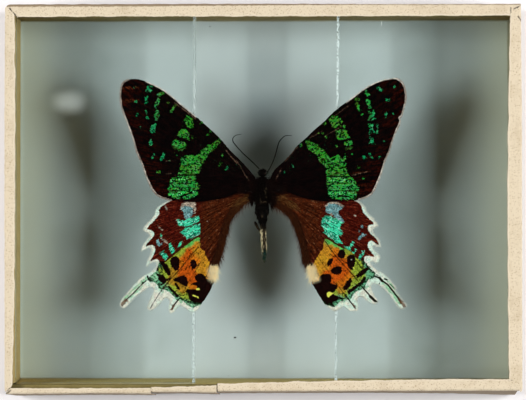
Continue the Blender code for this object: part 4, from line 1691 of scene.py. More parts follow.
    def strands(self, part: HairSide, rng: np.random.Generator, fur: bpy.types.Material) -> None:
        """Grow the golden strands along a hindwing's root."""
        count = self.golden_count
        spots, headings = along_line(case_from_picture(part.golden), rng.random(count) ** 1.3)
        spots = spots + rng.normal(0, 0.75, (count, 2)) * (0.5, 1.0)
        ways = headings + rng.normal(0, 0.16, (count, 2))
        self.lay(Strands(f"golden_hair_{part.side.value}", "hindwing", fur), spots, ways, rng,
                 lengths=(0.8, 2.0), rise=(0.0, 0.03), heights=(21.66, 21.8), bend=(0.0, 0.12),
                 widths=(0.05, 0.09))

    def root(self, part: HairSide, rng: np.random.Generator, fur: bpy.types.Material) -> None:
        """Grow the hair that lies over the wing roots, away from the thorax."""
        count = self.root_count
        far = rng.random(count) < 0.35
        turns = np.where(far, rng.normal(0.24, 0.16, count), rng.uniform(-0.75, 0.85, count))
        ways = np.column_stack([-part.inward * np.cos(turns), np.sin(-turns)])
        reach = np.where(far, rng.uniform(0.4, 4.6, count), rng.uniform(-1.2, 1.2, count))
        line = case_from_picture(part.base) + ways * reach[:, None]
        spots = line + rng.normal(0, 0.9, (count, 2)) * (0.4, 1.3)
        spots[far] = line[far] + rng.normal(0, 0.3, (far.sum(), 2))
        lengths = rng.uniform(0.8, 2.2, count)[:, None]
        roots = np.column_stack([spots, rng.uniform(22.2, 22.7, count)])
        runs = np.column_stack([ways * lengths, rng.uniform(-0.35, 0.1, count)])
        bends = rng.normal(0, 0.12, (count, 3)) * (1, 1, 0.4)
        Strands(f"root_hair_{part.side.value}", "body", fur).grow(
            roots, runs, bends, rng.uniform(0.05, 0.09, count), rng.random(count))


# ---------------------------------------------------------------------------- tape and plates


class Edge(Enum):
    """The case's edges, by how many quarter turns bring each to the head."""

    HEAD = 0
    RIGHT = 1
    FOOT = 2
    LEFT = 3

    def way(self) -> tuple[np.ndarray, np.ndarray]:
        """Give the directions along the edge and out of the case."""
        turn = -self.value * math.pi / 2
        return (np.array([math.cos(turn), math.sin(turn)]), np.array([-math.sin(turn), math.cos(turn)]))


@dataclass(frozen=True)
class TapeFinish(Finish):
    """Cream paper tape: brown flecks, a paler raised inner edge, a soiled fold and painted shade down its
    flank.
    """

    name: str
    cream: Colour = paint(211, 196, 170)
    light: Colour = paint(222, 209, 186)
    fleck: Colour = paint(138, 108, 72)
    soil: Colour = paint(128, 108, 82)
    # painted shade: the tape's darker colour down the case's side, where its face turns from the light
    painted_flank_shade: Colour = paint(160, 142, 116)
    # the marks' colour: worn seams, notches and folds, and a painted shadow under a lifted end
    seam_and_shadow: Colour = paint(44, 34, 22)

    def dress(self, graph: Graph, shader: Node, effects: Effects) -> None:
        """Feed colour from the paper effect, the inner edge and the fold."""
        place = graph.place()
        paper = graph.effect(effects.paper, {
            "Place": place, "Colour": self.cream, "Fleck Colour": self.fleck, "Flecks": 0.35, "Grime": 0.25})
        dots = graph.fade(graph.cells(place, 0.62), 0.12, 0.34, 0.62, 0.0)
        colour = graph.blend(dots, paper.outputs["Colour"], self.fleck)
        wander = graph.sum("SUBTRACT", graph.noise(place, 0.9, 3.0, 0.6), 0.5)
        inner = graph.sum("MULTIPLY_ADD", wander, 0.5, graph.own("inner"))
        colour = graph.blend(graph.fade(inner, 0.35, 0.6, 0.6, 0.0), colour, self.light)
        fold = graph.sum("MULTIPLY_ADD", wander, 0.7, graph.own("fold"))
        marks = graph.sum("MULTIPLY_ADD", wander, 0.35, graph.own("marks"))
        for gap, low, high, share, laid in (
                # painted shade on the flank, below the fold
                (fold, -0.1, 0.12, 0.85, self.soil), (graph.own("fold"), -3.0, -0.6, 0.8, self.painted_flank_shade),
                (inner, 0.02, 0.16, 0.45, self.soil), (marks, 0.08, 0.36, 0.85, self.seam_and_shadow)):
            colour = graph.blend(graph.fade(gap, low, high, share, 0.0), colour, laid)
        self.surface(graph, shader, colour, roughness=0.8, gloss=0.25)
        self.relief(graph, shader, paper.outputs["Height"], depth=0.08, strength=0.7)


@dataclass(frozen=True)
class TapeRun:
    """One length of tape, folded over an edge of the case.

    It runs from start to end in millimetres along its edge, clockwise as seen from the front. Its
    widths, its bulges past the case's side and the leans of its lower edge are read at even shares
    of its run, and so is the soiled strip along its fold. Marks are lines in picture steps: worn
    seams, notches and folds, and one painted shadow under a lifted end of tape.
    """

    node: str
    edge: Edge
    start: float
    end: float
    widths: tuple[float, ...]
    bulges: tuple[float, ...] = (0.0,)
    leans: tuple[float, ...] = (0.0,)
    soiled: tuple[float, ...] = (-0.3,)
    marks: tuple[tuple[Point, ...], ...] = ()
    mitre_start: bool = True
    mitre_end: bool = True
    mitre_gap: float = 0.45
    corners: Point = (0.5, 0.5)
    corner_reach: float = 0.3
    step: float = 0.3
    lower: float = 1.5
    top: float = 26.96
    fold: float = 0.8
    thickness: float = 0.22
    wave: float = 0.12
    crinkle: float = 0.05
    seed: int = 1

    @property
    def halves(self) -> Point:
        """Give half the case's size along the edge, and out to it."""
        return CASE_HALVES if self.edge in (Edge.HEAD, Edge.FOOT) else CASE_HALVES[::-1]

    def build(self, made: bpy.types.Material) -> None:
        """Make the run."""
        across = self.across()
        count = round((self.end - self.start) / self.step)
        work = bmesh.new()
        bmesh.ops.create_grid(work, x_segments=count, y_segments=len(across) - 1, size=0.5)
        corners = np.array([knot.co[:2] for knot in work.verts]) + 0.5
        along = corners[:, 0]
        row = np.rint(corners[:, 1] * (len(across) - 1)).astype(int)
        places, inner, fold = self.shape(along, across[row])
        for knot, place in zip(work.verts, places):
            knot.co = place
        bmesh.ops.recalc_face_normals(work, faces=work.faces)
        piece = piece_from(work, f"{self.node}_paper", made, stands_for=(self.node,))
        steps = picture_from_case(places[:, :2])
        lines = [distance_to_line(steps, np.array(mark, float)) for mark in self.marks]
        gaps = np.min(lines, 0) * PICTURE_STEP if lines else np.full(len(steps), 9.0)
        give_values(piece.data, inner=inner, fold=fold - self.read(self.soiled, along),
                    marks=gaps + np.clip(-1.2 - fold, 0, 9))
        self.turn_out(piece.data)
        add_thickness(piece, self.thickness)

    def across(self) -> np.ndarray:
        """Give the rows across the tape: below 0 down the wall, then the fold, then 0 to 1 inward."""
        wall = -np.linspace(1.0, 0.0, 13)[:-1] - 1.0
        bend = np.linspace(-1.0, 0.0, 6)
        return np.concatenate([wall, bend, np.linspace(0.0, 1.0, 14)[1:]])

    @staticmethod
    def read(values: tuple[float, ...], along: np.ndarray) -> np.ndarray:
        """Read values that stand at even shares of the run."""
        return np.interp(along, np.linspace(0.0, 1.0, len(values)), values)

    def shape(self, along: np.ndarray, across: np.ndarray) -> tuple[np.ndarray, np.ndarray, np.ndarray]:
        """Work out the tape's points.

        Args:
            along: Each point's share of the run.
            across: Its row across the tape.

        Returns:
            The places in millimetres, their distances from the inner edge and those from the fold.
        """
        half_run, half_reach = self.halves
        reach = half_reach + self.read(self.bulges, along)
        run = self.start + (self.end - self.start) * along
        width = self.read(self.widths, along)
        width = width + self.wave * soft_noise(run[:, None], 9.0, self.seed)
        width = width + 0.5 * self.wave * soft_noise(run[:, None], 1.7, self.seed + 1)
        turn = np.clip(across + 1, 0, 1) * math.pi / 2
        inward = self.fold * (1 - np.cos(turn)) + np.clip(across, 0, 1) * (width - self.fold)
        height = self.top - self.fold * (1 - np.sin(turn))
        fold_foot = self.top - self.fold
        on_wall = self.lower + (fold_foot - self.lower) * (across + 2)
        height = np.where(across < -1, on_wall, height)
        limit = half_run + self.mitre_gap - inward
        run = np.where((along < 0.5) & self.mitre_start, np.maximum(run, -limit), run)
        run = np.where((along >= 0.5) & self.mitre_end, np.minimum(run, limit), run)
        way, out = self.edge.way()
        lean = self.read(self.leans, along) * np.clip((fold_foot - height) / 24.0, 0, 1)
        beyond = reach + lean - inward
        for sign, radius in zip((-1, 1), self.corners):
            middle = half_run + self.corner_reach - radius
            past = np.column_stack([run * sign - middle, beyond - (reach - radius)])
            far = np.maximum(np.hypot(*past.T), 1e-6)
            pull = np.where((past.min(1) > 0) & (far > radius), radius / far, 1.0)
            run = sign * (middle + past[:, 0] * pull)
            beyond = (reach - radius) + past[:, 1] * pull
        flat = way * run[:, None] + out * beyond[:, None]
        spots = np.column_stack([flat, height])
        lift = soft_noise(np.column_stack([run, inward * 2.5, height]), 3.2, self.seed + 2) * self.crinkle
        inner = np.where(across > 0, (1 - across) * (width - self.fold), width)
        rim = np.exp(-((inner - 0.3) / 0.16) ** 2) * 0.06
        normal = np.column_stack([out * np.cos(turn)[:, None], np.sin(turn)])
        fold = np.where(across < -1, height - fold_foot, inward)
        return spots + normal * (lift - self.crinkle + rim)[:, None], inner, fold

    def turn_out(self, mesh: bpy.types.Mesh) -> None:
        """Turn the faces outward if they face the glass."""
        flat = np.zeros(len(mesh.polygons) * 3, np.float32)
        mesh.polygon_normals.foreach_get("vector", flat)
        if flat.reshape(-1, 3)[:, 2].sum() < 0:
            mesh.flip_normals()


@dataclass(frozen=True)
class PlateEdge:
    """The chipped edge of a glass plate, as a rough ribbon over its upper corner.

    Its place, opacity and polish are given at the foot and at the head.
    """

    name: str
    place: Point
    inward: float
    width: float
    top: float = 21.03
    depth: float = 2.3
    chipped: float = 0.5
    half_length: float = 57.4
    opacity: Point = (0.6, 0.6)
    polish: Point = (0.0, 0.0)
    lengths: int = 700
    seed: int = 1

    def build(self, made: bpy.types.Material) -> None:
        """Make the ribbon: down the cut face, over the corner and a little way onto the plate."""
        work = bmesh.new()
        bmesh.ops.create_grid(work, x_segments=7, y_segments=self.lengths, size=0.5)
        spots = np.array([knot.co[:2] for knot in work.verts]) + 0.5
        y = (spots[:, 1] * 2 - 1) * self.half_length
        chips = np.abs(soft_noise(y[:, None], 0.9, self.seed))
        chips += 0.5 * soft_noise(y[:, None], 7.0, self.seed + 1)
        width = np.clip(self.width * (1 - self.chipped / 2 + self.chipped * chips), 0.15, 3.0)
        share = np.clip(spots[:, 0] * 7 / 5 - 2 / 5, 0, 1)
        drop = np.clip(1 - spots[:, 0] * 7 / 2, 0, 1)
        toward_head = np.clip(y / self.half_length * 0.5 + 0.5, 0, 1)
        place, opacity, polish = (pair[0] + (pair[1] - pair[0]) * toward_head
                                  for pair in (self.place, self.opacity, self.polish))
        x = place - self.inward * (share * width - 0.06)
        rough = soft_noise(np.column_stack([y, share * 3]), 0.7, self.seed + 2)
        z = self.top - drop * self.depth + 0.03 * rough
        for knot, spot in zip(work.verts, zip(x, y, z)):
            knot.co = spot
        bmesh.ops.recalc_face_normals(work, faces=work.faces)
        piece = piece_from(work, self.name, made)
        give_values(piece.data, cut_face=(drop > 0).astype(float), opacity=opacity, polish=polish)
        add_thickness(piece, 0.04)


@dataclass
class LiningSheet:
    """The paper on the case's floor, with its edges turned up against the walls.

    Its spots of painted shadow, in the middle above and below the moth, are darker, each with its place in
    picture steps and its weight.
    """

    half_length: float = 77.77
    half_width: float = 56.47
    head_reach: float = 0.42
    top: float = 3.0
    thickness: float = 0.25
    turn_up: float = 0.35
    lit_side_strip: float = 15.5
    shaded_middle_strip: float = 24.0
    clouded: tuple[Place, ...] = ((263, 110, 0.95), (263, 312, 0.65), (263, 70, 0.45))
    shade_spot_size: Point = (7.0, 9.0)

    def build(self, made: bpy.types.Material) -> None:
        """Make the sheet."""
        work = bmesh.new()
        bmesh.ops.create_grid(work, x_segments=156, y_segments=112, size=0.5)
        halves = np.array([self.half_length, self.half_width])
        even = np.array([knot.co[:2] for knot in work.verts]) * 2
        spots = np.sign(even) * (1 - (1 - np.abs(even)) ** 1.25) * halves
        gap = (halves - np.abs(spots)).min(1)
        spots[:, 1] += self.head_reach * np.clip(spots[:, 1] / self.half_width, 0, 1)
        height = self.top + self.turn_up * np.clip(1 - gap / 0.5, 0, 1)
        for knot, spot, z in zip(work.verts, spots, height):
            knot.co = (*spot, z)
        bmesh.ops.recalc_face_normals(work, faces=work.faces)
        piece = piece_from(work, "lining_sheet", made, stands_for=("lining_paper",))
        # painted light in the strips by the side walls, painted shade in the strip between the plates
        side = np.clip((self.lit_side_strip - self.half_length + np.abs(spots[:, 0])) / 12.0, 0, 1)
        middle = np.clip((self.shaded_middle_strip - np.abs(spots[:, 0])) / 12.0, 0, 1)
        # distance to the walls, for the brown rim of painted shade
        rim = np.minimum(halves[0] - spots[:, 0], halves[1] + spots[:, 1] + 0.95)
        rim = np.minimum(rim, halves[1] + self.head_reach - spots[:, 1] + 0.85)
        # spots of painted shadow above and below the moth
        cloud = np.zeros(len(spots))
        for across, down, weight in self.clouded:
            away = (spots - case_from_picture((across, down))) / self.shade_spot_size
            cloud = np.maximum(cloud, weight * np.exp(-(away ** 2).sum(1)))
        give_values(piece.data, side=side * side * (3 - 2 * side),
                    middle=middle * middle * (3 - 2 * middle), rim=rim, clouded=cloud)
        add_thickness(piece, self.thickness)


@dataclass(frozen=True)
class Bearer:
    """A strip of card by the head or the foot wall, on which the plates lie.

    Its lean is how far the top of its inner face leans toward the wall.
    """

    node: str
    toward_head: float
    half_length: float = 77.5
    inner: float = 56.5
    outer: float = 57.79
    base: float = 2.7
    top: float = 19.6
    lean: float = 0.0

    def build(self, made: bpy.types.Material) -> None:
        """Make the strip."""
        work = bmesh.new()
        bmesh.ops.create_cube(work, size=1.0)
        size = (2 * self.half_length, self.outer - self.inner, self.top - self.base)
        middle = (0, self.toward_head * (self.outer + self.inner) / 2, (self.top + self.base) / 2)
        for knot in work.verts:
            knot.co = [part * whole + shift for part, whole, shift in zip(knot.co, size, middle)]
            if knot.co.z > 10 and abs(knot.co.y) < self.inner + 0.01:
                knot.co.y += self.toward_head * self.lean
        bmesh.ops.bevel(work, geom=list(work.edges), offset=0.12, segments=2, profile=0.5,
                        affect="EDGES", material=-1)
        piece_from(work, f"{self.node}_strip", made, stands_for=(self.node,))


@dataclass(frozen=True)
class Crumbs:
    """Small bits of dust that lie at one level: on the lining, or on the glass plates.

    Each has its place in picture steps and its two half widths in millimetres.
    """

    name: str
    bits: Rows
    level: float = 3.0

    def build(self, made: bpy.types.Material) -> None:
        """Make the bits as flat balls."""
        work = bmesh.new()
        for across, down, wide, high in self.bits:
            thin = min(wide, high)
            place = (*case_from_picture((across, down)), self.level + 0.45 * thin)
            matrix = Matrix.Translation(place) @ Matrix.Diagonal((wide, high, 0.5 * thin, 1.0))
            bmesh.ops.create_icosphere(work, subdivisions=2, radius=1.0, matrix=matrix)
        piece_from(work, self.name, made)


@dataclass
class Case:
    """The case's own pieces with their sizes and their finishes."""

    effects: Effects
    head_bearer: Bearer = Bearer("bearer_head", 1.0, inner=56.94)
    foot_bearer: Bearer = Bearer("bearer_foot", -1.0, lean=1.1)
    dark_crumbs: Crumbs = Crumbs("dark_crumbs", (
        (232.6, 338.2, 0.36, 0.24), (207, 21.5, 0.16, 0.2), (249, 150, 0.1, 0.12)))
    pale_crumbs: Crumbs = Crumbs("pale_crumbs", (
        (381.6, 23.0, 0.13, 0.9), (339.4, 24.0, 0.1, 0.5)), level=21.1)
    tape: tuple[TapeRun, ...] = (
        TapeRun("tape_head", Edge.HEAD, -80, 80, (4.1, 3.99, 4.08, 3.87, 3.76),
                (0.6, 0.6, 0.59, 0.4, 0.37), soiled=(0.85, 0.85, 0.6, 0.15, 0.25), corners=(1.7, 0.5),
                marks=(((10.5, 8.0), (12.0, 12.0), (15.3, 14.5), (15.6, 17.5)),
                       ((5.8, 12.6), (7.2, 12.4)), ((513.5, 9.8), (517.0, 8.4), (521.0, 6.5)),
                       ((510.2, 9.0), (510.4, 16.0))), seed=11),
        TapeRun("tape_right", Edge.RIGHT, -60, 60, (3.4, 4.28, 4.66, 4.5, 4.2),
                (0.05, 0.28, 0.3, 0.3, 0.28), corners=(0.5, 1.4),
                marks=(((517.5, 17.5), (519.5, 20.0), (521.0, 22.0)),), seed=21),
        TapeRun("tape_foot_last", Edge.FOOT, -80, 14.3, (3.65, 3.77, 3.44, 3.12, 2.51),
                (-0.37, -0.31, -0.25, -0.12, -0.06), (2.1, 1.5, 1.3, 1.3, 1.3), mitre_end=False,
                corners=(1.4, 0.5),
                marks=(((509.5, 379.6), (521.0, 379.4)), ((519.8, 389.3), (520.6, 389.9)),
                       # painted shadow under the lifted end of the tape
                       ((326.0, 391.2), (340.0, 391.7), (353.0, 392.2)),
                       ((217.4, 383.0), (217.6, 391.0))), seed=31),
        TapeRun("tape_foot_middle", Edge.FOOT, 14.4, 34.7, (2.47, 1.83, 1.55), (0.4, 0.12, 0.15),
                (1.2,), mitre_start=False, mitre_end=False, seed=41),
        TapeRun("tape_foot_first", Edge.FOOT, 34.8, 80, (1.85, 1.7, 1.83, 2.05),
                (0.65, 0.56, 0.71, 0.9), (1.2,), mitre_start=False, corners=(0.5, 0.9),
                marks=(((11.5, 390.0), (9.0, 392.0), (5.0, 394.2)),), seed=51),
        TapeRun("tape_left", Edge.LEFT, -60, 60, (2.5, 3.25, 3.5, 3.53, 3.15),
                (0.45, 0.5, 0.62, 0.62, 0.5), corners=(0.9, 1.4), seed=61))
    plate_edges: tuple[PlateEdge, ...] = (
        PlateEdge("plate_edge_left", (-21.5, -21.3), 1.0, 0.8, chipped=0.15, opacity=(0.6, 0.34),
                  polish=(0.08, 0.08), seed=71),
        PlateEdge("plate_edge_right", (22.15, 22.95), -1.0, 0.72, opacity=(0.8, 1.0),
                  polish=(0.12, 0.19), seed=81))

    def __post_init__(self) -> None:
        """Build the materials that several pieces share."""
        # painted shade: a darker copy of the tan card for the head and foot walls and the head bearer, whose
        # faces lie in shade
        self.shaded = CardFinish("tan card with painted shade", paint(146, 126, 74)).material(self.effects)
        self.lining = LiningFinish("lining paper").material(self.effects)

    def dress(self, nodes: dict[str, bpy.types.Object]) -> None:
        """Give each of the frame's solids its material."""
        card = CardFinish("tan card", paint(204, 172, 112)).material(self.effects)
        board = CardFinish("grey board", paint(150, 140, 120)).material(self.effects)
        glued = CardFinish("tape under the glass", paint(236, 220, 190), flecks=0.5)
        glued = glued.material(self.effects)
        tint = (0.955, 0.975, 0.975)
        pane = GlassFinish("front glass", tint, shadow=(0.85, 0.88, 0.88)).material(self.effects)
        plate = GlassFinish("plate glass", tint, shadow=(0.87, 0.90, 0.90)).material(self.effects)
        chosen = {"wall_head": self.shaded, "wall_foot": self.shaded, "back_board": board,
                  "lining_paper": self.lining, "front_glass": pane, "wing_plate_left": plate,
                  "wing_plate_right": plate}
        for name, node in nodes.items():
            node.data.materials.clear()
            node.data.materials.append(chosen.get(name, glued if name.startswith("tape") else card))

    def build(self) -> None:
        """Make the lining, the bearers, the dust, the tape and the plates' edges."""
        LiningSheet().build(self.lining)
        self.head_bearer.build(self.shaded)
        # painted light: a lighter, warmer copy of the tan card, which lifts the foot bearer's inner face out
        # of its shade
        self.foot_bearer.build(CardFinish("olive card with painted light", paint(214, 186, 116)).material(self.effects))
        self.dark_crumbs.build(PlainFinish("dark dust", paint(46, 34, 26)).material(self.effects))
        self.pale_crumbs.build(PlainFinish("pale dust", paint(250, 250, 246)).material(self.effects))
        paper = TapeFinish("flecked tape").material(self.effects)
        for run in self.tape:
            run.build(paper)
        ground = GroundEdgeFinish("ground glass edge").material(self.effects)
        for edge in self.plate_edges:
            edge.build(ground)


# ---------------------------------------------------------------------------- the studio


@dataclass(frozen=True)
class Softbox:
    """A soft light that faces the case, with its sizes and its distance in metres.

    Its place is a lean from straight above, toward a heading counted from the case's right side,
    both in degrees.
    """

    lean: float
    heading: float
    power: float
    width: float
    length: float
    distance: float = 1.1

    def build(self) -> None:
        """Place the light."""
        data = bpy.data.lights.new("softbox", "AREA")
        data.shape = "RECTANGLE"
        data.size, data.size_y = self.length, self.width
        data.energy = self.power
        lamp = bpy.data.objects.new("softbox", data)
        lean, heading = math.radians(self.lean), math.radians(self.heading)
        place = Vector((math.sin(lean) * math.cos(heading), math.sin(lean) * math.sin(heading),
                        math.cos(lean))) * self.distance
        lamp.location = place
        lamp.rotation_mode = "QUATERNION"
        lamp.rotation_quaternion = (-place).to_track_quat("-Z", "Y")
        lamp.visible_transmission = False
        bpy.context.scene.collection.objects.link(lamp)


@dataclass(frozen=True)
class LightPatch:
    """A weak narrow spot straight above one place, which leaves a blurred bright patch there.

    Its height is in metres, its cone in degrees. Its flatness is the patch's height over its width.
    """

    place: Point = (-62.2, 31.1)
    height: float = 0.6
    cone: float = 1.2
    flatness: float = 0.64
    power: float = 12.5
    colour: Colour = (1.0, 0.87, 0.84)

    def build(self) -> None:
        """Place the light."""
        data = bpy.data.lights.new("light patch", "SPOT")
        data.energy = self.power
        data.color = self.colour
        data.spot_size = math.radians(self.cone)
        data.spot_blend = 1.0
        data.shadow_soft_size = 0.002
        lamp = bpy.data.objects.new("light patch", data)
        lamp.location = (self.place[0] * MM, self.place[1] * MM, self.height)
        lamp.scale = (1.0, self.flatness, 1.0)
        lamp.visible_transmission = False
        bpy.context.scene.collection.objects.link(lamp)


@dataclass
class Studio:
    """The floor, the lights and the camera, with places and sizes in metres."""

    camera_place: Place = (0.036, -0.025, 1.127)
    camera_target: Place = (0.0, -0.0005, 0.027)
    camera_lens: float = 242.86
    floor_size: float = 3.0
    lights: tuple[Softbox, ...] = (
        Softbox(lean=52.3, heading=176.5, power=11.7, width=0.34, length=0.47),
        Softbox(lean=52.0, heading=1.5, power=13.0, width=0.34, length=0.47),
        Softbox(lean=45.0, heading=90.0, power=0.6, width=0.5, length=1.2),
        Softbox(lean=45.0, heading=270.0, power=0.25, width=0.5, length=1.2),
        Softbox(lean=25.0, heading=270.0, power=0.3, width=0.4, length=0.4))
    ambient: float = 0.004
    room_colour: Colour = (1.0, 0.99, 0.985)
    floor_colour: Colour = paint(246, 243, 244)

    def build(self, effects: Effects) -> None:
        """Make the floor, the soft lights, the dim room and the camera."""
        scene = bpy.context.scene
        scene.view_settings.view_transform = "Standard"
        work = bmesh.new()
        bmesh.ops.create_grid(work, x_segments=1, y_segments=1, size=self.floor_size / 2)
        mesh = bpy.data.meshes.new("floor")
        work.to_mesh(mesh)
        work.free()
        floor = bpy.data.objects.new("floor", mesh)
        scene.collection.objects.link(floor)
        white = PlainFinish("white surface", self.floor_colour, shade=0.01, cloud=40.0)
        mesh.materials.append(white.material(effects))
        for light in self.lights:
            light.build()
        LightPatch().build()
        world = bpy.data.worlds.new("room")
        world.use_nodes = True
        backdrop = world.node_tree.nodes["Background"]
        backdrop.inputs["Color"].default_value = (*self.room_colour, 1.0)
        backdrop.inputs["Strength"].default_value = self.ambient
        scene.world = world
        self.camera()

    def camera(self) -> None:
        """Place the camera above the case, a little to the right and the foot."""
        data = bpy.data.cameras.new("camera")
        data.lens = self.camera_lens
        data.sensor_width = 36.0
        data.clip_start, data.clip_end = 0.05, 20.0
        camera = bpy.data.objects.new("camera", data)
        camera.location = self.camera_place
        back = (Vector(self.camera_place) - Vector(self.camera_target)).normalized()
        right = Vector((0, 1, 0)).cross(back).normalized()
        camera.rotation_mode = "QUATERNION"
        camera.rotation_quaternion = Matrix((right, back.cross(right), back)).transposed().to_quaternion()
        bpy.context.scene.collection.objects.link(camera)
        bpy.context.scene.camera = camera


# ---------------------------------------------------------------------------- marks of the moth

def left_forewing() -> Forewing:
    """Give the left forewing with its marks."""
    green = [
        blot((187, 115), (190, 114.7), (192.5, 118), (193, 123), (192.5, 127.5), (190.5, 128.3), (188, 126),
            (184.5, 123.5), (183.5, 121), (185.5, 117.5)),
        blot((181.5, 128.7), (186, 129.5), (189, 132), (188.8, 137), (189.5, 139.5), (186, 139),
            (182, 136.5), (177.5, 135.5), (178, 133), (180, 130)),
        blot((173, 140.5), (175.5, 138.7), (179, 140.5), (184, 141.8), (186.5, 144), (186, 147),
            (183.5, 149), (181, 150.3), (177, 149.3), (172.5, 147.8), (171, 145.5), (173, 143)),
        blot((221.5, 138.5), (222, 141), (218.5, 143.5), (216.5, 146.5), (212, 150.5), (208.5, 152.5),
            (207, 157), (204.5, 160), (203, 163.5), (200.5, 166), (200, 170.5), (198.5, 173), (196, 176),
            (196, 181), (198.5, 184.5), (199.5, 187), (198, 190), (197.5, 195.5), (192, 197.5),
            (186, 198.8), (180, 198.5), (174, 198), (170.5, 195.8), (168, 194.5), (169.5, 191.5),
            (167.5, 188.5), (169.5, 184.5), (170, 178.5), (174, 177.3), (178, 175), (177.5, 172.5),
            (178.5, 170.5), (180.5, 166), (180.5, 163), (181, 159), (181.5, 156.5), (186, 155),
            (191, 154.8), (195, 155), (198.5, 153), (201.5, 149.5), (205, 148), (208.5, 145),
            (212.5, 142.5), (216.5, 140.5), (219, 138.7)),
        *dashes(1.0, (148, 86.6, 151, 86.3, 2.8), (147.3, 90, 149.6, 90, 3.6), (159, 94, 162, 92.4, 3.6),
            (146.3, 97, 146.3, 100.6, 2.4), (158.3, 99, 155.5, 106, 3), (156.8, 112, 156.3, 117.5, 4.4),
            (153, 126.5, 152.3, 130, 4.6), (150.5, 140.5, 150.5, 143.8, 3.4), (164.2, 153.2, 161, 159, 2.6),
            (174.8, 105, 171, 111.5, 2.4)),
        *dashes(0.75, (145.5, 102.2, 145.5, 103, 2), (154.5, 124, 154.5, 125, 2.6),
            (153.8, 153.6, 152.2, 157.6, 1.6), (136.5, 113.4, 136.5, 114.8, 2),
            (146, 110.6, 146, 112.4, 1.8), (146.4, 116.8, 147, 117.4, 2.6), (140, 126.8, 140.2, 127.2, 1.8),
            (223, 154, 221.2, 157.4, 1.5), (220.8, 161.6, 218.8, 166.4, 1.3),
            (228, 166, 225.4, 169.4, 1.3)),
        *dashes(0.35, (134, 86.5, 135, 86.5, 2.2), (135, 101, 136, 101, 2.2),
            (167.6, 101.5, 168.4, 101.5, 2.2), (182.3, 125.5, 182.7, 125.5, 1.6), (176, 154, 178, 154, 2.2),
            (157.5, 171, 159.5, 171, 2.4), (168, 160.5, 169, 160.5, 2), (201, 123, 203, 123, 1.6),
            (210.2, 130.8, 210.2, 132.2, 1.8), (207.3, 134, 207.7, 134, 1.8), (194, 136, 194.2, 136, 1.8),
            (191.5, 137, 191.5, 138, 1.8), (236, 165, 236.2, 165, 1.4), (247, 178.5, 247.2, 178.5, 1.4)),
    ]
    return Forewing(
        base=(256, 181), node="forewing_left", slot="forewing", height=22.0, green=green,
        veins=[
            Dash((176, 175), (200, 174.4), 1.5), Dash((168, 190.5), (190, 189.6), 1.0),
            blot((178, 196.2), (192, 190.8), (193, 192.2), (181, 197.4)),
            Dash((178, 166), (206, 160.5), 0.7), Dash((169, 182), (197, 180.5), 0.6),
        ],
        streaks=[
            Line(((226, 150), (231, 156), (237, 163)), 0.8, 0.5),
            Line(((236.6, 160), (240.4, 166), (245, 174.6), (251, 182.4)), 0.7, 0.4),
            Line(((174.6, 102.4), (183, 108.4), (189, 113), (195.6, 118.4)), 0.9, 0.5),
            Dash((193.6, 114.6), (195.4, 116.4), 1.1, 1.0), Dash((186, 110.6), (188, 112), 0.9, 0.9),
            Dash((166, 173.4), (171, 173), 0.9, 0.6), Dash((166, 160.8), (170, 160.2), 0.9, 0.4),
        ],
        rust=[
            Dash((121, 87), (138, 87), 4.0), Dash((121, 100), (138, 100), 4.5),
            Dash((124, 112), (140, 111), 2.5, 0.5), Dash((130, 131), (146, 130), 2.5, 0.4),
        ],
        brights=[
            Line(((168, 194.6), (177, 194), (184, 192.6), (192, 190.8)), 3.2),
            Line(((170, 180), (184, 179)), 2.0),
        ],
        flecked=[
            Line(((184, 113), (205, 128), (226, 148), (248, 172)), 12.0),
            Line(((196, 137), (215, 158), (240, 172)), 14.0),
        ],
        rib_start=(256, 181),
        ribs=(
            ((222, 158), (190, 127), (160, 96), (135, 80)), ((215, 158), (175, 130), (150, 108), (122, 93)),
            ((212, 163), (170, 140), (127, 121)), ((210, 168), (170, 156), (134, 143)),
            ((200, 174.4), (168, 172), (141, 163)), ((205, 181), (168, 181), (147, 178)),
            ((210, 188), (168, 190.5), (151, 189)),
        ),
        costal_span=(146, 196), costal_foot=122.0,
        outer_margin=(
            (128, 78.5), (123, 81), (120.7, 85), (119.7, 91), (119.6, 96), (120.8, 106), (124, 115),
            (129, 128), (133.5, 141), (136, 151), (141.5, 163), (147, 179), (152, 189), (156, 194.3),
            (161, 197.3), (166, 198.5), (171, 199.8),
        ))


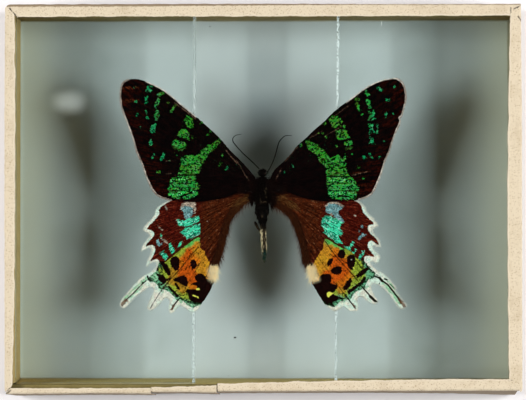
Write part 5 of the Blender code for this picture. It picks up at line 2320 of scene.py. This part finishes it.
def right_forewing() -> Forewing:
    """Give the right forewing with its marks."""
    green = [
        blot((331, 117), (333.5, 115), (337, 116), (341, 118.5), (342.5, 122), (340, 124.5), (337.5, 126),
            (336, 128.5), (333.5, 128), (331.5, 124), (328.6, 119.5)),
        blot((336, 131), (340, 129.5), (345.5, 129), (347, 131.5), (348, 134.5), (349.5, 137.5),
            (345, 139.5), (341, 139.8), (338, 139.5), (336.5, 135.5)),
        blot((343, 142), (347, 141), (351.5, 140.2), (352.5, 143), (351.5, 145), (346, 145.5),
            (344.5, 144.5)),
        blot((344.5, 147.5), (354, 146.5), (353, 148.5), (346, 150)),
        blot((305.5, 139), (309, 139.5), (311, 142), (316, 144.2), (320, 147.5), (324, 149.5), (326, 152.5),
            (328.5, 156), (330, 158), (335, 156), (338, 154), (340, 156.5), (340.5, 158.5), (345, 160),
            (346, 163), (345.5, 167), (347, 170), (348.5, 174.5), (349.5, 177), (354, 179), (356.5, 182.5),
            (358.5, 187), (359.5, 190), (356, 192), (357, 195), (354.5, 198.5), (347, 199.5), (338, 199),
            (331, 197.5), (329, 195), (328.5, 191), (328, 186), (326.5, 182.5), (327.5, 178), (326, 172),
            (325.5, 167), (322.5, 163.5), (319.5, 161), (317, 156), (313, 152.5), (309, 149), (307.5, 147),
            (306.5, 143.5)),
        blot((376, 86), (379, 85.8), (381, 88), (384, 90), (381, 91.5), (379, 91)),
        blot((368, 111), (374, 110), (375, 113.5), (373.5, 116), (376, 119.5), (372, 120), (368, 120.5),
            (368.5, 117), (370, 114)),
        blot((368, 124), (374, 123.5), (373, 126.5), (373, 130), (370.5, 134), (368.5, 133.5), (370, 129),
            (369, 126.5)),
        blot((370, 136.5), (373.5, 138.5), (374, 142), (376, 144.5), (372.5, 144), (369, 142.5),
            (369.5, 139)),
        *dashes(1.0, (366.3, 91.6, 368.6, 95, 3.2), (368, 100.4, 370.4, 106.8, 3.6),
            (356.9, 103.6, 360.4, 110.4, 2.8), (356, 99, 358.4, 99.4, 3.2)),
        *dashes(0.75, (372, 131, 377, 132.5, 1.6), (377, 132.2, 378, 128.6, 1.6),
            (377, 124.6, 377, 125.6, 1.8), (386.6, 99, 388.6, 99.8, 2.6), (386, 114.2, 386, 116.2, 2),
            (364.4, 156.6, 364.6, 158.4, 3), (370, 154, 370, 155.6, 2.2), (371.4, 156.8, 371.8, 157.2, 1.8),
            (345, 154.8, 345, 158.4, 2.2), (341.8, 126, 345, 126, 2.2), (301, 144.4, 301, 145.6, 2.2),
            (291.6, 163.4, 293.2, 166.4, 0.7), (284.5, 171.3, 284.6, 172.6, 0.7)),
        *dashes(0.35, (386.4, 111.8, 386.8, 112.2, 1.8), (393, 113.4, 393, 114.8, 1.8),
            (383.3, 141, 383.7, 141, 1.8), (352, 154, 353, 154, 1.6), (357.5, 167, 358.5, 167, 2),
            (362, 178, 363, 178, 2), (394.2, 86.5, 394.8, 86.5, 1.8), (379, 157, 380, 157, 1.8),
            (325, 122.4, 325, 124, 2), (318.4, 133, 323, 133, 1.4), (323, 133.4, 326.6, 137.4, 1.4),
            (334.6, 146, 337.4, 146, 1.6), (297, 144.3, 297.3, 144.4, 2),
            (362.3, 114.5, 362.7, 114.5, 1.6)),
    ]
    return Forewing(
        base=(269, 181), node="forewing_right", slot="forewing", height=22.0, green=green,
        veins=[
            Dash((326, 176), (349, 176.4), 1.3), Dash((329, 190), (358, 191), 0.9),
            blot((337, 194), (350, 195.8), (350, 197.2), (340, 196.8)),
            Dash((321, 161.5), (346, 167.5), 0.7), Dash((327, 182), (356, 183.5), 0.6),
        ],
        streaks=[
            Line(((325.2, 135.6), (334, 130.6), (344.2, 125)), 0.6, 0.42),
            Line(((309.8, 137.6), (316, 134.4), (322.4, 130.6)), 0.6, 0.34),
            Line(((298, 146), (291, 154), (285, 161)), 0.7, 0.45),
            Line(((281.4, 168), (279.6, 172.6), (275.8, 179)), 0.8, 0.5),
            Line(((352, 175), (360, 173), (367, 171.5)), 0.8, 0.55),
            Dash((327.6, 116.4), (328.6, 116.8), 1.0),
            Line(((348, 105.6), (341, 110.8), (333, 117.5)), 0.6, 0.4),
        ],
        rust=[
            Dash((350, 173.4), (370, 171), 2.2, 0.9), Dash((358, 186), (374, 184), 3.0, 0.5),
            Dash((388, 124), (398, 124), 2.0, 0.14), Dash((386, 100), (404, 98), 2.4, 0.12),
        ],
        brights=[Line(((331, 193), (340, 193.4), (355, 192.4)), 3.0), Line(((330, 179), (348, 180)), 2.4)],
        flecked=[
            Line(((340, 114), (320, 130), (298, 150), (276, 172)), 12.0),
            Line(((330, 140), (306, 158), (284, 172)), 14.0),
        ],
        rib_start=(269, 181),
        ribs=(
            ((302, 158), (335, 125), (362, 97), (390, 80)), ((310, 158), (350, 130), (375, 108), (404, 93)),
            ((313, 163), (355, 140), (397, 121)), ((315, 168), (355, 156), (390, 143)),
            ((326, 175.6), (356, 173), (384, 163)), ((320, 182), (356, 182), (378, 178)),
            ((315, 188), (358, 191), (373, 189)),
        ),
        costal_span=(346, 398), costal_foot=104.0,
        outer_margin=(
            (397, 78.2), (402.5, 82), (405.2, 88), (406.3, 95), (405.8, 102), (403, 112), (401.5, 116.4),
            (399.6, 117.2), (400.6, 121), (395.5, 133), (391.3, 145), (389.6, 151), (385, 161),
            (381.5, 173), (376.5, 185), (372, 193.6), (366, 197.3), (359, 199.3),
        ))


def left_hindwing() -> Hindwing:
    """Give the left hindwing with its marks."""
    membrane = (
        (172, 199.5), (165, 203.5), (160, 207), (158.5, 209.5), (159, 213), (157, 217), (153, 221),
        (148, 226), (146.5, 228.5), (150, 229.5), (153, 231), (154, 233), (153, 236), (150.5, 239),
        (147, 243), (144, 247), (148, 245.5), (152, 244.5), (154.5, 246.5), (155, 250), (153.5, 254),
        (151, 258), (148.8, 262.3), (151, 260.5), (155, 258.8), (158, 259.5), (159, 262), (157.5, 265),
        (156.5, 268), (156, 271), (152, 274), (148.5, 277.5), (147, 280), (150, 281.5), (154, 281.5),
        (157, 284), (158.5, 287.5), (160.5, 290.5), (162.5, 289.5), (166, 289.8), (170, 293), (174, 296.5),
        (176.5, 300), (178.5, 300.5), (181, 300), (184, 301.5), (187, 304.5), (190, 306.5), (193.5, 307.8),
        (196, 306), (200, 304.8), (203, 302.5), (207.5, 297), (211.5, 290), (214, 283.5), (232, 283),
        (232, 258), (262, 215), (262, 180), (172, 180),
    )
    inner_edge = (
        (100, 170), (262, 170), (262, 196), (250, 200), (242.5, 206.5), (235, 214), (230, 223), (227, 235),
        (224, 246), (221, 257), (218.6, 264), (216.4, 270), (213.6, 277.5), (214.6, 284), (216, 330),
        (100, 330),
    )
    layers = {
        "rufous": [
            blot((202, 203), (199.5, 215), (200, 236), (200.5, 247.5), (203.5, 250), (206, 256), (210, 263),
                (232, 270), (262, 215), (262, 180), (205, 180)),
        ],
        "shadowed": [Line(((176, 198.5), (192, 201.5), (206, 201), (222, 198), (240, 192)), 2.0)],
        "beige": [
            blot((182, 203), (186, 201.6), (194.5, 201.6), (196, 205), (194, 208.5), (184, 207),
                (181.5, 210.5), (180, 208)),
            Line(((194.6, 206), (194.6, 213)), 1.4), Dash((177, 219.8), (178.6, 222.6), 1.6),
            Dash((165.2, 206), (166.6, 209), 1.2), Line(((158, 226), (160, 228), (162, 230)), 1.2),
            Dash((164.5, 240.4), (166.6, 242.6), 1.2), Dash((161, 238), (162.4, 239.4), 1.0),
        ],
        "grey": [
            blot((181, 207.5), (184, 205.5), (190, 206), (193, 208), (192.5, 213), (190.5, 217), (187, 219),
                (184, 217.5), (183.5, 213), (182.5, 210)),
            Dash((157.4, 240.4), (158.8, 244.4), 3.0), Dash((160.6, 244), (162, 243), 1.4),
        ],
        "turquoise": [
            blot((177, 219.5), (182, 220), (187, 218.5), (193, 217), (198.5, 215.8), (199.5, 220),
                (196, 222.5), (190, 225), (184, 226), (179, 225.5), (178, 222.5)),
            blot((199.5, 223.5), (200, 230), (199, 234), (196, 236), (190, 238), (187.5, 238.5),
                (185, 236.5), (182.5, 234), (180, 232), (182, 229), (186, 227)),
            blot((178, 246.5), (179.5, 241), (183, 241.5), (181, 245)),
            blot((168, 245), (170.5, 243), (171.5, 246.5), (174.5, 248), (174, 251), (171.5, 253),
                (170, 250.5)),
            blot((159, 252.5), (163, 250.5), (165.5, 253), (168, 257), (165.5, 260), (163, 257.5),
                (161, 254.5)),
            Dash((161, 234.4), (161, 235.8), 1.8),
        ],
        "field": [
            blot((199.5, 236), (188, 243.6), (180, 249.4), (174, 255), (171, 257.5), (168.5, 258.8),
                (166, 261.5), (161.5, 263.5), (159, 262), (156, 268), (150, 275), (146, 281), (156, 285),
                (160, 292), (166, 292), (176, 302), (184, 304), (194, 310), (205, 304), (214, 284),
                (212, 277), (208, 270), (209.5, 263), (206, 256), (203.5, 250), (200.5, 247.5),
                (199.6, 243)),
        ],
        "vein": [
            Line(((198.5, 246.5), (191, 255), (186, 261), (181, 267.5), (175, 274), (170, 279),
                (164.5, 286), (161, 291)), 1.2),
            Line(((199, 264), (195.6, 270), (192.6, 275), (188.7, 280.4), (186, 287), (180, 297)), 0.8),
            Line(((199.5, 222.4), (192, 225.6), (186, 227.2)), 0.8),
            Line(((192, 226.2), (188, 229.4), (184, 232)), 0.8),
            Line(((199, 235.2), (190, 240.6), (181, 247), (172, 255.6), (166, 260)), 1.2),
        ],
        "dark_border": [
            Line(((160.4, 265), (162, 270), (160, 276)), 1.0), Line(((170, 290), (174.6, 294)), 1.0),
            Line(((181, 298), (188, 301.4), (196, 303.6), (201, 303)), 1.4),
            Dash((158, 284), (160, 287), 1.2),
        ],
        "tail_brown": [
            Line(((125.6, 300), (123, 302.4), (121.4, 304.4)), 3.8), Dash((173, 306), (171.6, 309.4), 2.6),
        ],
        "black": [
            blot((171, 258), (173, 256.5), (177, 256.5), (179, 259), (179, 265), (178, 269.5), (175, 270),
                (172, 267), (170.3, 262)),
            blot((191, 260.5), (193.5, 259.2), (195.5, 261.5), (196.8, 264), (195, 267.5), (193.5, 268.5),
                (191, 266), (190.3, 263)),
            blot((173, 278.5), (177, 277.5), (181, 275.8), (184, 275.5), (186.5, 277.5), (187.5, 282),
                (187, 285.5), (184.5, 285.8), (181.5, 283.5), (178, 281.5), (174, 281)),
            blot((156, 273.4), (160, 274.6), (163.4, 275.4), (165.4, 279), (165.8, 282.2), (162, 282.4),
                (159.4, 280), (157, 277)),
            blot((159.6, 261), (163, 261.6), (166.4, 264.5), (169, 268.6), (170.4, 274.6), (168, 275),
                (164.6, 270.6), (162.4, 266)),
            Dash((168.6, 286.8), (177.6, 295.8), 1.7), Dash((175.8, 284), (178.6, 288.6), 1.7),
            Dash((166.3, 279.3), (166.8, 279.7), 1.6), Dash((168.8, 278.4), (169.3, 278.6), 1.4),
            blot((195, 276), (197.5, 274), (201, 273.8), (204, 275.5), (205.5, 278.5), (209, 280),
                (212.5, 282), (213.6, 284), (210.8, 290.5), (207, 297), (202.8, 302), (200.5, 304.5),
                (196.5, 303.5), (193, 302), (190, 299), (188, 293.5), (185.5, 291), (187.5, 289),
                (192, 289.5), (196, 289.5), (198, 285), (195, 284.8), (191.2, 284), (195, 282),
                (197.5, 282), (195.5, 279)),
            Line(((156, 263), (157.6, 267), (157, 270)), 0.9), Line(((161, 284), (163.6, 283)), 1.0),
        ],
        "lemon": [
            Dash((197, 289), (198.6, 288.8), 2.0), Line(((193, 295), (196, 296.2), (198.3, 297.2)), 1.3),
        ],
        "cream": [
            blot((208.6, 270), (212, 266.6), (219, 264.6), (222, 268), (217, 281), (213, 281), (209.6, 279),
                (209, 274)),
        ],
        "dot": [Dash((207, 220.8), (207.4, 220.8), 0.8)],
        "tail_green": [
            Line(((147, 277.6), (140, 283), (134, 288.4), (129, 293), (125, 298)), 2.6),
            Line(((142, 285.6), (136, 291.4), (130, 297.6)), 1.6),
            blot((149, 276), (154, 273), (158, 276), (157, 281), (152, 279.6)),
            Dash((160, 288), (162, 291), 2.5), Dash((178, 298), (182, 302), 2.5),
            Line(((186, 303), (193, 305), (200, 304)), 2.0),
        ],
        "pink": [Line(((158, 294), (152, 305)), 4.0)],
        "tail_vein": [
            Line(((145.8, 280.4), (142.6, 283.2), (138, 287.6), (133, 293), (128, 297.6), (124.6, 301)),
                1.3),
            Line(((147.2, 276), (148.2, 278.6), (150.2, 280.6)), 1.7),
            Dash((142.4, 282.4), (142.6, 283.2), 1.9), Line(((161.5, 290), (157, 296.5), (150, 308)), 1.0),
            Line(((180, 297.5), (176.5, 301.5), (174, 304.5), (171.8, 309)), 1.5),
        ],
    }
    pools = {
        "amber": [(200, 253, 5), (204, 262, 4.5), (203, 269, 3.5), (206, 272, 3), (196.5, 243, 2.2)],
        "yellow": [(196, 250, 3), (198, 270, 2), (207, 264, 3)],
        "orange": [(193, 257, 3), (197, 260, 3), (194, 247, 2.4), (182, 262, 3), (192, 286, 3)],
        "deep_orange": [
            (188, 252, 4), (186, 260, 4), (188, 271, 6), (193, 279, 4), (182, 273, 4), (190, 266, 3),
        ],
        "mustard": [(173, 273, 4), (183, 290, 4), (175, 283, 3), (170, 278, 2.4), (187, 288, 2)],
        "lime": [
            (168, 263, 3), (163, 270, 4), (178, 253, 3), (165, 276, 3), (173, 288, 3), (186, 296, 4),
            (183, 250, 3), (180, 294, 2),
        ],
        "green": [(190, 242, 3.4), (196, 238, 3), (186, 245.5, 2)],
        "sea_green": [
            (154, 276, 5), (159, 282, 3), (168, 291, 3), (176, 298, 3), (185, 302, 3.4), (192, 306, 3),
            (160, 265, 2),
        ],
    }
    return Hindwing(
        base=(253, 192), node="hindwing_left", slot="hindwing", height=21.35, membrane=membrane,
        inner_edge=inner_edge, layers=layers, pools=pools, rib_start=(253, 194),
        ribs=(
            ((205, 212), (160, 228), (147, 230)), ((207, 222), (165, 243), (145, 248)),
            ((199, 235.2), (172, 255.6), (150, 262)), ((198.5, 246.5), (164.5, 286), (150, 308)),
            ((205, 252), (186, 287), (172, 309)), ((214, 250), (204, 290)),
        ))


def right_hindwing() -> Hindwing:
    """Give the right hindwing with its marks."""
    membrane = (
        (354, 199.4), (358, 202.3), (361, 204.5), (361.8, 206.5), (362.4, 210), (364.6, 214), (369, 218.3),
        (372.5, 221.3), (374.2, 223.8), (371.5, 224.3), (368.5, 225.5), (367.8, 227.5), (368.5, 230.5),
        (370.5, 233.5), (374, 236), (376, 238.4), (378, 241.6), (379, 244.8), (376.5, 244), (374, 241.8),
        (371.5, 240.2), (369.5, 240.8), (368, 242.5), (367.5, 245), (368.5, 248), (371, 251.5),
        (373.5, 254.5), (374.8, 256.8), (372, 256.5), (369, 255.3), (366, 255.5), (364, 257.5),
        (364.4, 260.5), (366, 264), (369.5, 267.5), (371, 270.5), (374.5, 272.5), (375.5, 276),
        (372, 278.6), (368.6, 279.4), (366.8, 281.8), (365.6, 285), (365, 288), (362.6, 288.2), (360, 290),
        (356.5, 291), (353.6, 293.5), (352, 297), (350.6, 299), (347.5, 299.4), (345.4, 300.3),
        (343, 300.6), (340, 301.6), (337.5, 304), (335, 306), (333, 307), (331, 306), (329.5, 305),
        (327.5, 305.2), (324, 303.6), (320, 298.6), (315.6, 291.4), (311.6, 284.6), (296, 284), (296, 258),
        (264, 215), (264, 180), (354, 180),
    )
    inner_edge = (
        (430, 170), (264, 170), (264, 200), (275, 206.5), (283, 211.5), (290, 218), (295, 229), (299, 241),
        (301, 250), (302.6, 262), (306, 268.6), (308.4, 274.4), (311.6, 280.4), (311, 285), (309, 330),
        (430, 330),
    )
    layers = {
        "rufous": [
            blot((324, 203), (322, 215), (322, 232), (325, 242), (322, 250), (317, 257), (312, 263),
                (296, 272), (264, 215), (264, 180), (322, 180)),
        ],
        "shadowed": [Line(((350, 199), (335, 201.6), (321, 201), (305, 198), (285, 192.6)), 2.0)],
        "beige": [
            blot((328, 202.6), (333, 201), (338, 202.2), (344, 205.4), (343, 206.8), (338, 204.6),
                (332, 203.4), (327, 207), (325.4, 206)),
            Dash((330.6, 213.6), (332, 214.4), 1.8), Dash((354.6, 214.8), (355.4, 215.2), 1.6),
        ],
        "grey": [
            blot((326, 207), (329, 203.5), (335, 203.5), (340, 205.5), (343, 206.5), (341, 209),
                (338.5, 210.5), (338, 214), (340, 216), (343.5, 219), (343.5, 221.5), (339, 221),
                (335, 217), (332, 213), (328, 213), (326, 211)),
            Dash((359.4, 238.4), (362.8, 234.4), 2.6), Dash((361.8, 226.2), (362.6, 227.4), 2.0),
            Dash((359, 230.4), (359, 231.8), 1.4), Dash((364.6, 235), (365.4, 234.6), 1.8),
        ],
        "turquoise": [
            blot((322, 219), (324.5, 216), (328, 215.5), (332, 216.5), (335, 219), (340, 220.5), (344, 222),
                (341, 223.5), (340, 226), (340.5, 230), (342.5, 232.5), (342, 235), (339, 234.5),
                (339, 238), (342, 241.5), (343.5, 244), (338, 243), (333, 239.5), (328, 236), (324, 232),
                (325, 230), (323.5, 227), (321.5, 224.5)),
            blot((343.5, 246), (347, 247), (350.5, 245), (352.5, 241.5), (354.5, 240), (354, 243),
                (351, 247), (350.5, 250.5), (347, 249)),
            Line(((353, 253), (354.8, 251.4), (356, 249.5)), 1.6),
            blot((358, 259), (359.5, 255.5), (362, 251.5), (364.5, 250), (364, 253.5), (361.5, 257),
                (360.5, 260)),
        ],
        "field": [
            blot((324.5, 238.6), (330, 240.4), (338, 245.6), (344, 248.2), (351, 251), (356.6, 257.5),
                (361, 260.5), (364.8, 261), (367, 265), (370, 268), (376, 273), (376, 277), (368, 281),
                (366, 289), (361, 291), (354, 295), (351, 300), (343, 302), (334, 308), (327, 306),
                (319, 297), (311, 284.6), (313, 278), (316, 273), (313.6, 264), (317, 257), (322, 249.6),
                (324, 243)),
        ],
        "vein": [
            Line(((325, 240.4), (331, 249.6), (338, 258.4), (345, 266), (351, 272.6), (357, 279.4),
                (361, 285)), 1.0),
            Line(((334, 250.4), (340, 257.6), (344.6, 262.4)), 0.6),
            Line(((334, 281.4), (339.6, 287.8), (346, 296)), 0.7),
            Line(((323, 222.5), (327, 224.4), (331, 227)), 0.8),
            Line(((324.4, 236.6), (331, 240), (338.6, 245), (345, 249)), 0.9),
            Line(((318, 257), (323, 263.6), (329, 271.4)), 0.5),
        ],
        "black": [
            blot((338, 253), (340, 250), (343.5, 249.5), (345, 253), (344.5, 256.5), (341.5, 258),
                (338.5, 256.5)),
            blot((347, 257.5), (350, 254.5), (354, 255.5), (355.5, 259), (354.5, 264), (353, 268),
                (350.5, 269.5), (348.5, 267), (347.2, 262.5)),
            blot((327.5, 262.5), (329, 259), (332, 258.3), (333, 260), (331, 263.5), (328, 266)),
            blot((331, 270.5), (333.5, 267.5), (337, 266.2), (340.5, 266.5), (341.8, 269.5), (340.5, 273),
                (336, 274), (332.5, 272.5)),
            blot((345, 284.5), (348, 280), (351, 278), (351.5, 281.5), (349.5, 286), (347, 289),
                (344, 289.5), (343, 288)),
            blot((356, 275.5), (361, 270.5), (368, 266.5), (369, 268.5), (364, 273), (361, 276),
                (357, 277.5)),
            Line(((349, 292), (353, 288.4), (358, 285.2), (362, 282), (364.6, 278)), 2.4),
            blot((321, 275), (324, 273.8), (329, 274), (331, 276), (331, 279.5), (330, 283), (333, 284),
                (336.5, 284.5), (337, 287), (335, 290), (333, 292), (327, 297), (333, 294), (337, 296),
                (339.5, 297), (337, 299.5), (333, 302), (331, 304.5), (328, 305), (325, 303), (322, 299),
                (318.6, 294.5), (315, 288.5), (312.6, 284), (315, 281.5), (319, 281), (320, 278)),
            Line(((363.4, 259), (364.4, 262), (363, 264)), 1.2), Line(((331.6, 304), (333.6, 306)), 1.2),
            Dash((341, 298), (345, 298.6), 1.0),
        ],
        "lemon": [
            blot((327, 292.6), (329, 291.4), (331, 291.8), (333.4, 293), (331.6, 294.4), (330, 295.6),
                (328.6, 297.2), (327.2, 295.6)),
            Dash((353.4, 267.6), (353.8, 268.2), 1.2),
        ],
        "dark_border": [
            Line(((334, 303), (326, 304.6), (322, 301)), 1.4), Line(((345, 297), (339, 299)), 1.2),
            Line(((357, 287), (362, 284), (365.6, 281)), 1.4), Line(((364, 262), (368, 266)), 1.2),
            Line(((369, 268), (374, 272), (377, 275)), 1.6),
        ],
        "tail_brown": [
            Line(((400.4, 298.6), (402.6, 302), (404.4, 306)), 4.2), Dash((353, 304), (355, 307.4), 2.0),
        ],
        "cream": [
            blot((316, 272), (312.6, 265.4), (307, 264), (304.6, 268), (310.4, 281), (313.6, 281),
                (318.4, 279.5), (317, 275)),
        ],
        "dot": [Dash((351.3, 259.2), (351.7, 259.3), 1.1), Dash((354.8, 214.8), (355.2, 215), 0.8)],
        "tail_green": [
            Line(((383, 283), (389, 289), (395, 296), (400, 303)), 3.0),
            Line(((387.6, 281.6), (391, 285), (396, 291.4), (400, 298)), 1.8),
            Dash((364, 288), (368, 286), 2.0), Dash((346, 298), (342, 302), 2.0),
        ],
        "pink": [Line(((372, 296), (375, 300)), 2.0)],
        "tail_vein": [
            Line(((375, 276), (380, 277.8), (383, 281), (388, 284.6), (393, 291), (398, 297.5), (401, 303)),
                1.8),
            Dash((379.4, 277.4), (382, 280.8), 2.6), Dash((379.4, 282.6), (379.4, 284), 1.0),
            Dash((384.4, 278.6), (387, 279.6), 1.6), Line(((389.6, 283.6), (394.4, 288)), 0.9),
            Line(((397, 291), (401, 296.4), (404, 303)), 0.9),
            Line(((361.6, 286), (366, 291), (370, 295.6), (377, 301.6)), 1.5),
            Line(((370, 296), (375, 300.6)), 2.8),
            Line(((345.6, 295), (349, 299.6), (352, 303.6), (354.8, 307.4)), 1.4),
        ],
    }
    pools = {
        "amber": [(323, 250, 4), (328, 254, 3.4), (322, 264, 3), (326, 268, 2.4), (331, 247, 2.6)],
        "yellow": [(319, 262, 3), (317, 270, 3), (325, 258, 3)],
        "orange": [(340, 283, 4), (336, 250, 3), (348, 276, 3), (333, 254, 2)],
        "deep_orange": [
            (336, 258, 3.4), (334, 264, 3.4), (343, 262, 3.4), (345, 268, 4), (338, 277, 5), (333, 281, 3),
            (346, 273, 3.4), (327, 272, 2.4),
        ],
        "mustard": [(340, 290, 3), (352, 276, 2.4), (346, 256, 2), (344, 292, 2)],
        "lime": [
            (358, 263, 4), (362, 268, 3), (355, 271, 3.4), (356, 280, 3.4), (362, 276, 2.4),
            (346, 252, 2.4), (345, 294, 3), (351, 286, 2.4), (336, 292, 2),
        ],
        "green": [(336, 244, 3), (342, 247.6, 2.2), (330, 241.4, 2.6)],
        "sea_green": [
            (366, 284, 4), (356, 291, 4), (340, 300, 4), (335, 303, 3), (350, 296, 3), (366, 266, 2.4),
            (364, 261, 2), (371, 273, 4),
        ],
    }
    return Hindwing(
        base=(272, 192), node="hindwing_right", slot="hindwing", height=21.35, membrane=membrane,
        inner_edge=inner_edge, layers=layers, pools=pools,
        worn=(
            ((377, 268), (386, 275.4), (391, 280.2), (397.6, 288), (394.8, 289), (397, 292.4), (402, 299),
             (406.5, 304.5), (414, 304), (414, 276), (395, 262)),
        ),
        rib_start=(272, 194),
        ribs=(
            ((318, 208), (360, 222), (374, 224)), ((316, 218), (358, 238), (378, 244)),
            ((324.4, 236.6), (351, 252), (374, 257)), ((325, 240.4), (357, 279.4), (377, 301)),
            ((318, 257), (346, 296), (355, 308)), ((309, 250), (322, 290)),
        ))


# ---------------------------------------------------------------------------- all together


def main() -> None:
    """Build the looks piece by piece."""
    logging.basicConfig(level=logging.INFO, format="%(message)s")
    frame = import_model()
    effects = Effects()
    Studio().build(effects)

    case = Case(effects)
    case.dress(frame["nodes"])
    forewing, hindwing = ForewingFinish("forewing scales"), HindwingFinish("hindwing scales")
    left_forewing().build(effects, forewing)
    right_forewing().build(effects, forewing)
    left_hindwing().build(effects, hindwing)
    right_hindwing().build(effects, hindwing)
    Body().build(effects, BodyFinish("dry body"),
                 HairFinish("body hair", paint(6, 3, 2), paint(30, 15, 9), variety=0.8))
    Limbs().build(effects)
    WingHair().build(effects)
    case.build()


if __name__ == "__main__":
    main()
